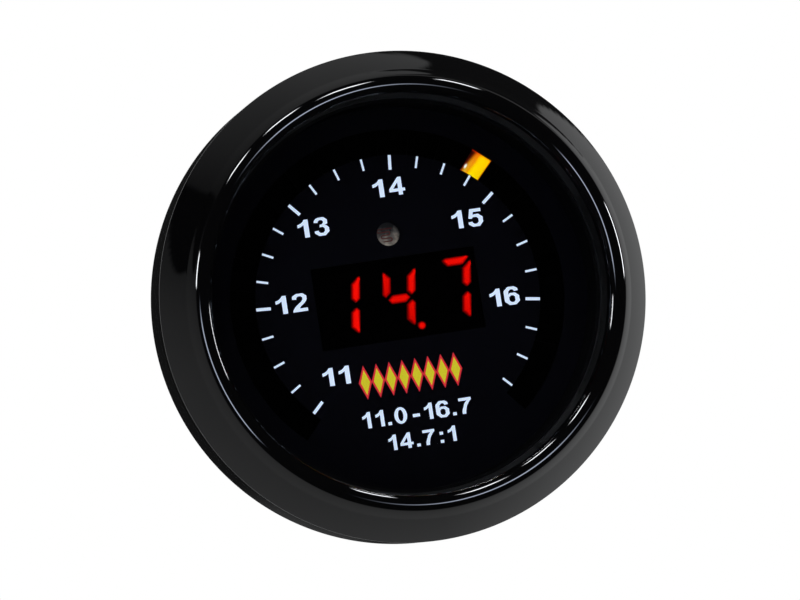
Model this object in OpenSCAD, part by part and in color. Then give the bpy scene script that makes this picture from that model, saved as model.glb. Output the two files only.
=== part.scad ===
// Air fuel ratio gauge for a round dashboard hole.
// The face looks towards -Y, +Z is up, and the origin is on the gauge's axis in the plane
// where the flange of the cup rests on the panel. All lengths are in millimetres.

/* [Cup] */
// Diameter of the band that fills the panel hole
cup_d = 52; // [50:0.5:56]
// Length of that band behind the panel seat
band_len = 5.5; // [4:0.5:8]
// Step on radius from the band down to the rest of the cup
body_step = 0.4; // [0.2:0.1:0.6]
// Wall of the cup at the band
cup_wall = 1.4; // [1:0.1:1.8]
// Length of the cup behind the panel seat
cup_len = 23; // [21:0.5:30]
// Step on radius from the band up to the threaded collar
collar_step = 2.3; // [1.8:0.1:3]
// Thickness of the inner ledge that carries the front board
ledge_t = 1.4; // [1:0.1:2]
// Width of the inner ledge
ledge_w = 1.7; // [1:0.1:2.2]
// Radius of the screw bosses inside the cup
boss_r = 2.6; // [2.3:0.1:3]
// How deep the screw bosses are merged in the cup's wall
boss_bite = 0.3; // [0.2:0.1:0.6]

/* [Bezel] */
// Wall of the bezel outside its thread
bezel_wall = 1.6; // [1.2:0.1:2.2]
// Length of the bezel's straight side
skirt_len = 9.5; // [8:0.5:12]
// Gap between the bezel's skirt and the panel
bezel_gap = 0.2; // [0.1:0.05:0.5]
// Rise of the crest above the rim of the straight side
crest_rise = 6.2; // [5.5:0.1:7.5]
// Radius of the rounded crest
crest_r = 1.08; // [0.8:0.02:1.3]
// Round of the rim between the straight side and the cone
rim_round = 0.4; // [0.2:0.05:0.6]
// How far the lip stands in past the bore of the cup
lip_cover = 0.28; // [0.1:0.02:0.6]
// Radial clearance between the thread of the bezel and the collar
thread_clearance = 0.08; // [0.04:0.01:0.1]
// Relief between the collar's front face and the step in the bezel
thread_relief = 0.5; // [0.3:0.1:0.8]
// Length of the bezel's thread
thread_len = 4.5; // [3:0.5:6]
// Step on radius from the thread out to the plain bore behind it
thread_step = 0.3; // [0.2:0.05:0.5]

/* [Lens] */
// Thickness of the lens
lens_t = 2; // [1.5:0.1:3]
// Depth of the lens below the top of the crest
lens_set = 2.23; // [1.5:0.05:3]
// Land of the lens outside the bore of the cup, on radius
lens_land = 1.3; // [1:0.1:1.5]
// Radial clearance of the lens in the bezel
lens_clearance = 0.1; // [0.05:0.01:0.2]
// Bevel round the edge of the lens
lens_bevel = 0.25; // [0.1:0.05:0.4]
// Thickness of the flat seal behind the lens
seal_t = 0.8; // [0.5:0.1:1.2]
// Wall of the trim ring between the seal and the dial
trim_t = 0.8; // [0.6:0.1:1]

/* [Dial] */
// Depth of the dial behind the lens
dial_depth = 6.5; // [5:0.1:8]
// Thickness of the dial plate
face_t = 0.4; // [0.3:0.1:1]
// Thickness of the smoked filter behind the dial plate
filter_t = 0.5; // [0.4:0.1:1]
// Radial clearance of the discs in the cup
disc_clearance = 0.2; // [0.1:0.05:0.3]
// Width of the display opening
window_w = 20.5; // [19:0.1:22]
// Height of the display opening
window_h = 10.1; // [9:0.1:11]
// Distance from the edge of the dial plate in to the ring of lamps
ring_inset = 5.15; // [4.6:0.05:5.6]
// Width of the C-shaped slot in front of the lamps
slot_w = 3.1; // [3.1:0.1:4]
// Angle by which the slot runs on past the first and last lamp
slot_margin = 3.8; // [3.5:0.1:6]
// Radius of the light sensor's hole
eye_r = 1.45; // [1.2:0.05:1.8]
// Height of the light sensor's hole above the axis
eye_up = 8; // [7.5:0.1:9]

/* [Scale] */
// Angle of the scale's lowest whole number, counter-clockwise from the right
angle_11 = 224.6; // [223:0.1:226]
// Angle of the second whole number
angle_12 = 176.3; // [175:0.1:178]
// Angle of the third whole number
angle_13 = 131.5; // [130:0.1:133]
// Angle of the fourth whole number
angle_14 = 84.8; // [84:0.1:86]
// Angle of the fifth whole number
angle_15 = 39.4; // [38:0.1:41]
// Angle of the sixth whole number
angle_16 = -8.5; // [-10:0.1:-7]
// Angle from one mark to the next past the sixth whole number
tail_step = 12.4; // [11.5:0.1:12.6]
// Steps of the scale in one whole number
steps = 4; // [4]
// Number of marks, each with its own lamp
marks = 24; // [24]
// The mark whose lamp is lit, counted from 0
lit_mark = 15; // [0:1:23]

/* [Lamps and carrier] */
// Depth of the moulded light carrier
carrier_t = 6.4; // [5.5:0.1:8]
// Width of a lamp along the scale
lamp_w = 2.4; // [1.8:0.1:2.5]
// Length of a lamp along the radius
lamp_l = 3.05; // [2.5:0.05:3.1]
// Round of a lamp's corners
lamp_round = 0.3; // [0.1:0.05:0.5]
// Clearance round each lamp and module in its pocket
pocket_clearance = 0.12; // [0.05:0.01:0.15]
// Gap between the tops of the lamps and the filter
tip_gap = 0.1; // [0.05:0.05:0.3]
// Width of the groove round each side of the carrier's lamp ring
groove_w = 0.9; // [0.6:0.1:1]
// Depth of that groove
groove_depth = 2.5; // [1.5:0.1:4]

/* [Digits] */
// Width of the display module
module_w = 22.6; // [21.5:0.1:24]
// Height of the display module
module_h = 10; // [9.4:0.1:10.6]
// Height of a digit
digit_h = 8.15; // [7.4:0.05:8.6]
// Width of a digit between the middles of its upright strokes
digit_w = 3.05; // [2.8:0.05:3.3]
// Distance from one digit to the next
digit_pitch = 7; // [6.6:0.1:7.2]
// How far the row of digits is set to the right of the axis
digit_right = 0.25; // [0:0.05:0.4]
// Width of a stroke
stroke_w = 1.15; // [0.8:0.05:1.2]
// Gap between neighbouring strokes
stroke_gap = 0.2; // [0.15:0.05:0.3]
// Depth of the strokes in the module's face
stroke_depth = 0.6; // [0.4:0.1:1]
// Lean of the digits in degrees
digit_lean = 8.4; // [5:0.1:10]
// Radius of the decimal point
dot_r = 0.5; // [0.4:0.05:0.55]

/* [Light sensor] */
// Radius of the sensor's disc
sensor_r = 2.2; // [2:0.05:2.3]
// Thickness of the sensor's disc
sensor_t = 2; // [1.5:0.1:2.5]
// Distance between the sensor's two legs
sensor_pitch = 2.6; // [2.2:0.1:2.8]
// Radius of a leg
leg_r = 0.25; // [0.2:0.05:0.3]

/* [Boards] */
// Thickness of both circuit boards
board_t = 1.6; // [1.2:0.1:2]
// Free space between the two boards
board_gap = 10.2; // [9.5:0.1:11]
// Clearance of the rear board in the cup
board_clearance = 0.3; // [0.2:0.05:0.5]
// Pitch of the pins between the boards
pin_pitch = 2; // [1.8:0.1:2.54]
// Pins in each of the two rows between the boards
pin_count = 7; // [4:1:8]
// Side of a square pin
pin_w = 0.6; // [0.5:0.05:0.8]
// Height of the plastic strip round the pins
strip_t = 2.2; // [1.8:0.1:3]
// Height of the pin strip above the axis
strip_up = 15; // [14.8:0.1:15.2]
// Side of the processor
chip_w = 9; // [7:0.5:10]
// Thickness of the processor
chip_t = 1.4; // [1:0.1:2]
// Length of a lamp driver chip
driver_l = 7.5; // [6:0.5:9]
// Width of a lamp driver chip
driver_w = 4; // [3:0.5:5]
// Thickness of a lamp driver chip
driver_t = 1.6; // [1.2:0.1:2]
// Radius of a capacitor
can_r = 3; // [2.5:0.1:3.2]
// Height of a capacitor
can_h = 7; // [6:0.5:8]
// Width of the voltage regulator
regulator_w = 6.6; // [6:0.1:7]
// Thickness of the voltage regulator
regulator_t = 2.3; // [2:0.1:3]

/* [Sockets] */
// Outer width of a socket across its two rows
socket_w = 9.2; // [8.8:0.1:9.8]
// Wall of a socket
socket_wall = 1; // [0.8:0.1:1.2]
// Pitch of the contacts
contact_pitch = 3; // [2.8:0.1:3.2]
// Thickness of a socket's floor
socket_floor = 2.5; // [2:0.1:3]
// How far the sockets stand out past the rear cover
socket_proud = 2.5; // [1.5:0.1:3.5]
// Depth of the contact tips below the mouth of the socket
contact_set = 4.8; // [4.5:0.1:5.5]
// Side of a square contact
contact_w = 1; // [0.8:0.05:1.1]
// Clearance round a socket in the rear cover
socket_clearance = 0.2; // [0.1:0.05:0.3]
// Distance from the clamp strap to the sockets
socket_gap = 3.4; // [3:0.1:4]
// Height of the power socket above the axis
power_up = 5.5; // [5:0.1:6]
// Height of the sensor socket above the axis
probe_up = 0; // [-1:0.1:1]

/* [Selector] */
// Side of the selector switch's body
selector_w = 8.6; // [8:0.1:9]
// Height of the selector switch's body
selector_h = 5.5; // [4.5:0.1:6]
// Radius of the selector's rotor
rotor_r = 2.7; // [2.4:0.1:2.8]
// Radial running clearance of the rotor
rotor_clearance = 0.05; // [0.03:0.01:0.08]
// Depth of the rotor's seat in the body
rotor_seat = 4; // [3:0.1:4.5]
// Width of the screwdriver slot
slot_blade_w = 0.9; // [0.7:0.1:1.2]
// Depth of the screwdriver slot
slot_blade_h = 1.2; // [0.8:0.1:1.5]
// Depth of the rotor's top below the rear face of the cover
rotor_set = 0.4; // [0.2:0.1:0.8]
// Drop of the selector below the axis
selector_down = 8; // [7.8:0.1:8.4]

/* [Rear cover] */
// Thickness of the rear cover
cover_t = 2; // [1.8:0.1:3]
// Depth of the spigot that centres the cover in the cup
spigot_t = 2; // [1.5:0.1:3]
// Wall of the spigot
spigot_wall = 1.2; // [1:0.1:1.5]
// Clearance of the spigot in the cup
spigot_clearance = 0.1; // [0.05:0.01:0.2]
// Radius of the long screws
screw_r = 1.1; // [1:0.05:1.25]
// Radius of the screw heads
head_r = 2.1; // [1.9:0.05:2.3]
// Height of the screw heads
head_t = 1.3; // [1:0.1:1.4]
// Reach of the screws in their bosses
screw_bite = 6; // [5:0.5:7]
// Clearance round the screws
screw_clearance = 0.05; // [0.03:0.01:0.1]
// Wall of the spacer tubes
spacer_wall = 1; // [0.8:0.1:1.2]

/* [Clamp] */
// Space between the panel seat and the feet of the strap at rest
panel_room = 6; // [5.8:0.1:8]
// Gap between the band and the legs of the strap
leg_gap = 0.6; // [0.4:0.1:0.8]
// Width of the strap
strap_w = 12; // [11:0.5:13]
// Thickness of the strap
strap_t = 1.5; // [1.2:0.1:2]
// Inner radius of the strap's bends
bend_r = 2; // [1.5:0.1:3]
// Space between the rear cover and the strap at rest
bridge_room = 6; // [5.6:0.1:8]
// Radius of the studs
stud_r = 2.5; // [2:0.1:2.7]
// Distance between the studs
stud_spacing = 30; // [28:0.5:32]
// Radius of the flange that holds each stud in the cover
flange_r = 3.8; // [3.4:0.1:4]
// Thickness of that flange
flange_t = 1.5; // [1:0.1:1.8]
// Length of stud behind the nut at rest
stud_spare = 4.5; // [4.2:0.1:8]
// Clearance of the studs in the strap
strap_clearance = 0.3; // [0.2:0.05:0.4]
// Thickness of the split washers
washer_t = 1; // [0.8:0.1:1.4]
// Outer radius of the split washers
washer_r = 4.3; // [4:0.1:4.6]
// Width of the split
split_w = 0.6; // [0.4:0.1:0.8]
// Radius of the knurled head of a thumb nut
nut_r = 5.5; // [5:0.1:6]
// Height of the knurled head
nut_h = 5; // [4:0.1:6]
// Radius of the nut's smooth collar
nut_collar_r = 4; // [3.6:0.1:4.4]
// Height of the nut's smooth collar
nut_collar_h = 1.7; // [1:0.1:2]
// Grooves round the knurled head
knurls = 24; // [16:1:28]
// Radius of one groove
knurl_r = 0.4; // [0.3:0.05:0.5]
// Radial running clearance of the nuts on the studs
nut_clearance = 0.05; // [0.03:0.01:0.08]

/* [Hidden] */

// One overrun serves every cut.
cut = 1;
// Segments of a turned shape and of a small bar when they are drawn.
turn_fn = 96;
bar_fn = 48;

// Radii, from the axis outwards.
band_r = cup_d / 2;
body_r = band_r - body_step;
bore_r = band_r - cup_wall;
rear_bore_r = body_r - cup_wall;
collar_r = band_r + collar_step;
nose_r = bore_r + lens_land - lens_clearance;
lens_r = bore_r + lens_land;
pocket_r = lens_r + lens_clearance;
thread_r = collar_r + thread_clearance;
bezel_r = thread_r + bezel_wall;
lip_r = bore_r - lip_cover;
crest_ring_r = lip_r + crest_r;
disc_r = bore_r - disc_clearance;
lamp_ring_r = disc_r - ring_inset;
rear_board_r = rear_bore_r - board_clearance;
boss_ring_r = rear_bore_r - boss_r + boss_bite;

// Depths along the axis, from the front to the back.
rim_y = -bezel_gap - skirt_len;
crest_y = rim_y - crest_rise + crest_r;
lens_y = rim_y - crest_rise + lens_set;
lens_back_y = lens_y + lens_t;
nose_y = lens_back_y + seal_t;
collar_y = -skirt_len;
relief_y = collar_y - thread_relief;
thread_back_y = collar_y + thread_len;
dial_y = lens_back_y + dial_depth;
filter_y = dial_y + face_t;
carrier_y = filter_y + filter_t;
front_board_y = carrier_y + carrier_t;
ledge_y = front_board_y + board_t;
ledge_back_y = ledge_y + ledge_t;
rear_board_y = ledge_y + board_gap;
rear_board_back_y = rear_board_y + board_t;
cover_y = cup_len;
cover_back_y = cover_y + cover_t;
selector_y = rear_board_back_y + selector_h;
rotor_y = selector_y - rotor_seat;
rotor_back_y = cover_back_y - rotor_set;
socket_y = cover_back_y + socket_proud;
tip_y = carrier_y + tip_gap;
strap_y = cover_back_y + bridge_room;
strap_back_y = strap_y + strap_t;
nut_y = strap_back_y + washer_t;
nut_back_y = nut_y + nut_collar_h + nut_h;
stud_end_y = nut_back_y + stud_spare;

// Places on the rear face.
socket_x = strap_w / 2 + socket_gap + socket_w / 2;
selector_x = -socket_x;
strap_r = band_r + leg_gap;
head_seat_y = cover_back_y - head_t;
spacer_r = screw_r + screw_clearance + spacer_wall;
power_rows = 2;
probe_rows = 3;

// The scale's whole numbers, whose spacing is uneven on purpose.
whole_angles = [angle_11, angle_12, angle_13, angle_14, angle_15, angle_16];
// Angles of the four long screws.
screw_angles = [45, 135, 225, 315];
// The strokes that are lit in each of the three digits, counted from the top clockwise,
// with the middle stroke last.
lit_strokes = [[1, 2], [1, 2, 5, 6], [0, 1, 2]];
// The digit whose decimal point is lit.
lit_dot = 1;
// Places of the chips and cans on the boards, in shares of the rear board's radius.
driver_shares = [[-0.34, -0.47], [0.34, -0.47]];
can_shares = [[-0.52, 0.1], [-0.52, 0.42]];
chip_share = [0.35, -0.05];
regulator_share = [-0.45, -0.33];
// Shares of the pieces that carry them: the regulator's tab, the blade slots in the rotor and
// the screws, the arms and depth of the screws' cross, and the lead of the thread.
tab_share = 0.7;
blade_share = 0.75;
cross_share = 0.3;
recess_share = 0.6;
lead_share = 0.2;

// Angle of a mark, in even steps between the whole numbers.
function mark_angle(k) =
    let (whole = floor(k / steps), part = (k % steps) / steps)
    whole < len(whole_angles) - 1
        ? whole_angles[whole] * (1 - part) + whole_angles[whole + 1] * part
        : whole_angles[whole] - tail_step * part * steps;

// A point at a distance and an angle from a centre.
function off(centre, r, a) = [centre[0] + r * cos(a), centre[1] + r * sin(a)];

// Turns a profile, drawn as radius across and depth up, about the gauge's axis.
module turned() {
    rotate([-90, 0, 0])
        rotate_extrude($fn = turn_fn)
            children();
}

// Makes a plate from an outline drawn as it is seen from the front.
module plate(front, thick) {
    translate([0, front + thick, 0])
        rotate([90, 0, 0])
            linear_extrude(thick)
                children();
}

// A round bar along the axis between two depths.
module bar(r, from, to) {
    translate([0, from, 0])
        rotate([-90, 0, 0])
            cylinder(r = r, h = to - from, $fn = bar_fn);
}

// A square-ended block along the axis between two depths.
module block(w, h, from, to) {
    translate([-w / 2, from, -h / 2])
        cube([w, to - from, h]);
}

// Moves a child to a place on the face.
module at(x, z) {
    translate([x, 0, z])
        children();
}

// Moves a child out along a radius of the face.
module at_polar(r, a) {
    rotate([0, -a, 0])
        translate([r, 0, 0])
            children();
}

module at_screws() {
    for (a = screw_angles)
        at_polar(boss_ring_r, a)
            children();
}

// An outline with round corners.
module rounded(w, h, r) {
    square([w - 2 * r, h], center = true);
    square([w, h - 2 * r], center = true);
    for (x = [-1, 1], y = [-1, 1])
        translate([x * (w / 2 - r), y * (h / 2 - r)])
            circle(r = r, $fn = 24);
}

// The bezel's section: a straight skirt, a steep flat cone, a round crest and a lip over the lens.
module bezel_profile() {
    crest = [crest_ring_r, crest_y];
    reach = crest - [bezel_r, rim_y];
    cone = atan2(reach[1], reach[0]) + asin(crest_r / norm(reach));
    rim_back = rim_round / tan(cone / 2 + 135);
    rim = [bezel_r - rim_round, rim_y + rim_back];
    tail = [bezel_r - rim_round, -bezel_gap - rim_round];
    polygon([
        [tail[0], -bezel_gap],
        [thread_r + thread_step, -bezel_gap],
        [thread_r + thread_step, thread_back_y],
        [thread_r, thread_back_y],
        [thread_r, relief_y],
        [pocket_r, relief_y],
        [pocket_r, lens_y],
        [lip_r, lens_y],
        [lip_r, crest_y],
        off(crest, crest_r, cone + 90),
        off(rim, rim_round, cone + 90),
        [bezel_r, rim[1]],
        [bezel_r, tail[1]]
    ]);
    translate(crest)
        circle(r = crest_r, $fn = turn_fn);
    for (centre = [rim, tail])
        translate(centre)
            circle(r = rim_round, $fn = bar_fn);
}

module bezel_ring() {
    color("#101014")
        turned()
            bezel_profile();
}

module lens() {
    color("#c8d2dc", 0.3)
        turned()
            polygon([
                [0, lens_y],
                [lens_r - lens_bevel, lens_y],
                [lens_r, lens_y + lens_bevel],
                [lens_r, lens_back_y - lens_bevel],
                [lens_r - lens_bevel, lens_back_y],
                [0, lens_back_y]
            ]);
}

// A flat ring between two radii and two depths.
module ring(inner, outer, from, to) {
    turned()
        translate([inner, from])
            square([outer - inner, to - from]);
}

module lens_seal() {
    color("#1a1a1a")
        ring(disc_r - trim_t / 2, nose_r, lens_back_y, nose_y);
}

module trim_ring() {
    color("#0c0c0e")
        ring(disc_r - trim_t, disc_r, nose_y, dial_y);
}

// The C-shaped opening in front of the lamps, with its gap at the bottom.
module lamp_slot() {
    low = mark_angle(marks - 1) - slot_margin;
    high = mark_angle(0) + slot_margin;
    difference() {
        circle(r = lamp_ring_r + slot_w / 2, $fn = turn_fn);
        circle(r = lamp_ring_r - slot_w / 2, $fn = turn_fn);
        polygon([
            [0, 0],
            off([0, 0], 2 * disc_r, high - 360),
            off([0, 0], 2 * disc_r, low)
        ]);
    }
}

module dial_plate() {
    color("#08080c")
        plate(dial_y, face_t)
            difference() {
                circle(r = disc_r, $fn = turn_fn);
                lamp_slot();
                square([window_w, window_h], center = true);
                translate([0, eye_up])
                    circle(r = eye_r, $fn = bar_fn);
            }
}

module smoked_filter() {
    color("#161618", 0.6)
        plate(filter_y, filter_t)
            difference() {
                circle(r = disc_r, $fn = turn_fn);
                translate([0, eye_up])
                    circle(r = eye_r, $fn = bar_fn);
            }
}

// Places a child at the lamp of one mark, with X out along the radius.
module at_mark(k) {
    at_polar(lamp_ring_r, mark_angle(k))
        children();
}

// The moulding that keeps each lamp's light in its own chamber and carries the dial.
module light_carrier() {
    groove_at = lamp_l / 2 + pocket_clearance + groove_w;
    room = 2 * pocket_clearance;
    color("#1c1c1e")
        difference() {
            plate(carrier_y, carrier_t)
                difference() {
                    circle(r = disc_r, $fn = turn_fn);
                    square([module_w + room, module_h + room], center = true);
                    translate([0, eye_up])
                        circle(r = sensor_r + pocket_clearance, $fn = bar_fn);
                }
            for (k = [0:marks - 1])
                at_mark(k)
                    plate(carrier_y - cut, carrier_t + 2 * cut)
                        rounded(lamp_l + room, lamp_w + room, lamp_round);
            for (side = [-1, 1])
                ring(
                    lamp_ring_r + side * groove_at - groove_w / 2,
                    lamp_ring_r + side * groove_at + groove_w / 2,
                    front_board_y - groove_depth,
                    front_board_y + cut
                );
        }
}

module lamp() {
    plate(tip_y, front_board_y - tip_y)
        rounded(lamp_l, lamp_w, lamp_round);
}

module lamps_dark() {
    color("#3a3a30")
        for (k = [0:marks - 1])
            if (k != lit_mark)
                at_mark(k)
                    lamp();
}

module lamp_lit() {
    color("#ffc400")
        at_mark(lit_mark)
            lamp();
}

// The outlines of the seven strokes of an upright digit, mitred where they meet.
half_w = digit_w / 2;
half_h = (digit_h - stroke_w) / 2;
half_s = stroke_w / 2;
mitre = stroke_gap * sqrt(0.5);
end_stroke = [
    [-half_w - half_s + mitre, half_h + half_s],
    [half_w + half_s - mitre, half_h + half_s],
    [half_w - half_s - mitre, half_h - half_s],
    [-half_w + half_s + mitre, half_h - half_s]
];
side_stroke = [
    [half_w + half_s, half_h + half_s - mitre],
    [half_w + half_s, half_s + mitre],
    [half_w, mitre],
    [half_w - half_s, half_s + mitre],
    [half_w - half_s, half_h - half_s - mitre]
];
middle_stroke = [
    [half_w - mitre, 0],
    [half_w - half_s - mitre, half_s],
    [-half_w + half_s + mitre, half_s],
    [-half_w + mitre, 0],
    [-half_w + half_s + mitre, -half_s],
    [half_w - half_s - mitre, -half_s]
];
// Each stroke as an outline and the way it is flipped across and up.
strokes = [
    [end_stroke, [1, 1]],
    [side_stroke, [1, 1]],
    [side_stroke, [1, -1]],
    [end_stroke, [1, -1]],
    [side_stroke, [-1, -1]],
    [side_stroke, [-1, 1]],
    [middle_stroke, [1, 1]]
];
function leaned(p) = [p[0] + p[1] * tan(digit_lean), p[1]];
function flipped(p, way) = [p[0] * way[0], p[1] * way[1]];
function is_lit(digit, i) = len([for (lit = lit_strokes[digit]) if (lit == i) lit]) > 0;

// The strokes of the whole display that are lit, or those that are dark.
module stroke_outlines(lit) {
    for (digit = [0:len(lit_strokes) - 1])
        translate([(digit - 1) * digit_pitch + digit_right, 0]) {
            for (i = [0:len(strokes) - 1])
                if (is_lit(digit, i) == lit)
                    polygon([for (p = strokes[i][0]) leaned(flipped(p, strokes[i][1]))]);
            if ((digit == lit_dot) == lit)
                translate(leaned([half_w + half_s + stroke_gap + dot_r, dot_r - half_h - half_s]))
                    circle(r = dot_r, $fn = bar_fn);
        }
}

module display_module() {
    color("#141416")
        difference() {
            block(module_w, module_h, tip_y, front_board_y);
            for (lit = [true, false])
                plate(tip_y - cut, stroke_depth + cut)
                    stroke_outlines(lit);
        }
}

module strokes_dark() {
    color("#2a1010")
        plate(tip_y, stroke_depth)
            stroke_outlines(false);
}

module strokes_lit() {
    color("#ff2010")
        plate(tip_y, stroke_depth)
            stroke_outlines(true);
}

module light_sensor() {
    color("#8a8274")
        at(0, eye_up) {
            bar(sensor_r, tip_y, tip_y + sensor_t);
            for (x = [-1, 1])
                at(x * sensor_pitch / 2, 0)
                    bar(leg_r, tip_y + sensor_t, front_board_y);
        }
}

module front_board() {
    color("#1f5a34")
        plate(front_board_y, board_t)
            circle(r = disc_r, $fn = turn_fn);
}

module lamp_drivers() {
    color("#202022")
        for (share = driver_shares)
            at(share[0] * rear_board_r, share[1] * rear_board_r)
                block(driver_l, driver_w, ledge_y, ledge_y + driver_t);
}

// Moves a child to each pin between the boards.
module at_pins() {
    for (i = [0:pin_count - 1], row = [-0.5, 0.5])
        at((i - (pin_count - 1) / 2) * pin_pitch, strip_up + row * pin_pitch)
            children();
}

module pin_strip() {
    color("#18181a")
        difference() {
            at(0, strip_up)
                block(pin_count * pin_pitch, 2 * pin_pitch, ledge_y, ledge_y + strip_t);
            at_pins()
                block(pin_w, pin_w, ledge_y - cut, ledge_y + strip_t + cut);
        }
}

module board_pins() {
    color("#c8a850")
        at_pins()
            block(pin_w, pin_w, ledge_y, rear_board_y);
}

module rear_board() {
    color("#1f5a34")
        difference() {
            plate(rear_board_y, board_t)
                circle(r = rear_board_r, $fn = turn_fn);
            at_screws()
                bar(screw_r + screw_clearance, rear_board_y - cut, rear_board_back_y + cut);
        }
}

module processor() {
    color("#202022")
        at(chip_share[0] * rear_board_r, chip_share[1] * rear_board_r)
            block(chip_w, chip_w, rear_board_y - chip_t, rear_board_y);
}

module voltage_regulator() {
    color("#26262a")
        at(regulator_share[0] * rear_board_r, regulator_share[1] * rear_board_r) {
            block(regulator_w, regulator_w, rear_board_y - regulator_t, rear_board_y);
            at(0, regulator_w / 2)
                block(regulator_w * tab_share, regulator_w * tab_share, rear_board_y - leg_r, rear_board_y);
        }
}

module capacitors() {
    color("#b8bcc2")
        for (share = can_shares)
            at(share[0] * rear_board_r, share[1] * rear_board_r)
                bar(can_r, rear_board_y - can_h, rear_board_y);
}

function socket_l(rows) = rows * contact_pitch + 2 * socket_wall;

// A socket for a plug of two columns of contacts, open to the rear.
module socket(rows) {
    floor_y = rear_board_back_y + socket_floor;
    lug_y = cover_back_y + socket_clearance;
    hollow = 2 * socket_wall;
    difference() {
        union() {
            block(socket_w, socket_l(rows), rear_board_back_y, socket_y);
            // A lug on each side, which the plug's latch snaps over.
            block(socket_w + hollow, contact_pitch, lug_y, socket_y - socket_wall);
        }
        block(socket_w - hollow, socket_l(rows) - hollow, floor_y, socket_y + cut);
        at_contacts(rows)
            block(contact_w, contact_w, rear_board_back_y - cut, floor_y + cut);
    }
}

module at_contacts(rows) {
    for (row = [0:rows - 1], column = [-0.5, 0.5])
        at(column * contact_pitch, (row - (rows - 1) / 2) * contact_pitch)
            children();
}

module contacts(rows) {
    at_contacts(rows)
        block(contact_w, contact_w, rear_board_back_y, socket_y - contact_set);
}

module power_socket() {
    color("#1a1a1c")
        at(-socket_x, power_up)
            socket(power_rows);
}

module power_contacts() {
    color("#c8a850")
        at(-socket_x, power_up)
            contacts(power_rows);
}

module probe_socket() {
    color("#1a1a1c")
        at(socket_x, probe_up)
            socket(probe_rows);
}

module probe_contacts() {
    color("#c8a850")
        at(socket_x, probe_up)
            contacts(probe_rows);
}

module selector_body() {
    color("#24406e")
        at(selector_x, -selector_down)
            difference() {
                block(selector_w, selector_w, rear_board_back_y, selector_y);
                bar(rotor_r + rotor_clearance, rotor_y, selector_y + cut);
            }
}

module selector_rotor() {
    color("#e0ddd2")
        at(selector_x, -selector_down)
            difference() {
                bar(rotor_r, rotor_y, rotor_back_y);
                block(2 * rotor_r * blade_share, slot_blade_w, rotor_back_y - slot_blade_h, cover_back_y);
            }
}

module spacer_tubes() {
    color("#c9ccd0")
        at_screws()
            difference() {
                bar(spacer_r, rear_board_back_y, cover_y);
                bar(screw_r + screw_clearance, rear_board_back_y - cut, cover_y + cut);
            }
}

module long_screws() {
    recess_y = cover_back_y - head_t * recess_share;
    color("#b9bcc0")
        at_screws()
            difference() {
                union() {
                    bar(screw_r, rear_board_y - screw_bite, head_seat_y);
                    bar(head_r, head_seat_y, cover_back_y);
                }
                for (a = [0, 90])
                    rotate([0, a, 0])
                        block(2 * head_r * blade_share, head_r * cross_share, recess_y, cover_back_y + cut);
            }
}

// The moulded cup: nose, threaded collar, panel band, inner ledge and four screw bosses.
module cup_housing() {
    lead = collar_step * lead_share;
    ledge_r = bore_r - ledge_w;
    color("#121214")
        difference() {
            union() {
                turned()
                    polygon([
                        [nose_r, nose_y],
                        [nose_r, collar_y],
                        [collar_r - lead, collar_y],
                        [collar_r, collar_y + lead],
                        [collar_r, 0],
                        [band_r, 0],
                        [band_r, band_len],
                        [body_r, band_len],
                        [body_r, cup_len],
                        [rear_bore_r, cup_len],
                        [rear_bore_r, ledge_back_y],
                        [ledge_r, ledge_back_y],
                        [ledge_r, ledge_y],
                        [bore_r, ledge_y],
                        [bore_r, nose_y]
                    ]);
                at_screws()
                    bar(boss_r, ledge_y, rear_board_y);
            }
            at_screws()
                bar(screw_r + screw_clearance, rear_board_y - screw_bite - screw_r, rear_board_y + cut);
        }
}

// The outline of the opening that one socket needs.
module socket_opening(rows) {
    block(
        socket_w + 2 * socket_clearance,
        socket_l(rows) + 2 * socket_clearance,
        cover_y - cut,
        cover_back_y + cut
    );
}

module rear_cover() {
    spigot_r = rear_bore_r - spigot_clearance;
    color("#151517")
        difference() {
            union() {
                plate(cover_y, cover_t)
                    circle(r = body_r, $fn = turn_fn);
                ring(spigot_r - spigot_wall, spigot_r, cover_y - spigot_t, cover_y);
            }
            at(-socket_x, power_up)
                socket_opening(power_rows);
            at(socket_x, probe_up)
                socket_opening(probe_rows);
            at(selector_x, -selector_down)
                bar(rotor_r + socket_clearance, cover_y - cut, cover_back_y + cut);
            for (side = [-1, 1])
                at(0, side * stud_spacing / 2)
                    bar(stud_r + screw_clearance, cover_y - cut, cover_back_y + cut);
            at_screws() {
                bar(screw_r + screw_clearance, cover_y - cut, cover_back_y + cut);
                bar(head_r + screw_clearance, head_seat_y, cover_back_y + cut);
                bar(spacer_r + spigot_clearance, cover_y - spigot_t - cut, cover_y);
            }
        }
}

module clamp_studs() {
    color("#b4b8bd")
        for (side = [-1, 1])
            at(0, side * stud_spacing / 2) {
                bar(flange_r, cover_y - flange_t, cover_y);
                bar(stud_r, cover_y, stud_end_y);
            }
}

// Depth across and height up: a U with round corners, open towards the panel.
module strap_outline(reach, end, corner, from) {
    translate([from, -reach])
        square([end - corner - from, 2 * reach]);
    translate([from, corner - reach])
        square([end - from, 2 * (reach - corner)]);
    for (side = [-1, 1])
        translate([end - corner, side * (reach - corner)])
            circle(r = corner, $fn = bar_fn);
}

module clamp_strap() {
    color("#a9adb2")
        difference() {
            translate([-strap_w / 2, 0, 0])
                rotate([90, 0, 90])
                    linear_extrude(strap_w)
                        difference() {
                            strap_outline(strap_r + strap_t, strap_back_y, bend_r + strap_t, panel_room);
                            strap_outline(strap_r, strap_y, bend_r, panel_room - cut);
                        }
            for (side = [-1, 1])
                at(0, side * stud_spacing / 2)
                    bar(stud_r + strap_clearance, strap_y - cut, strap_back_y + cut);
        }
}

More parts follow.
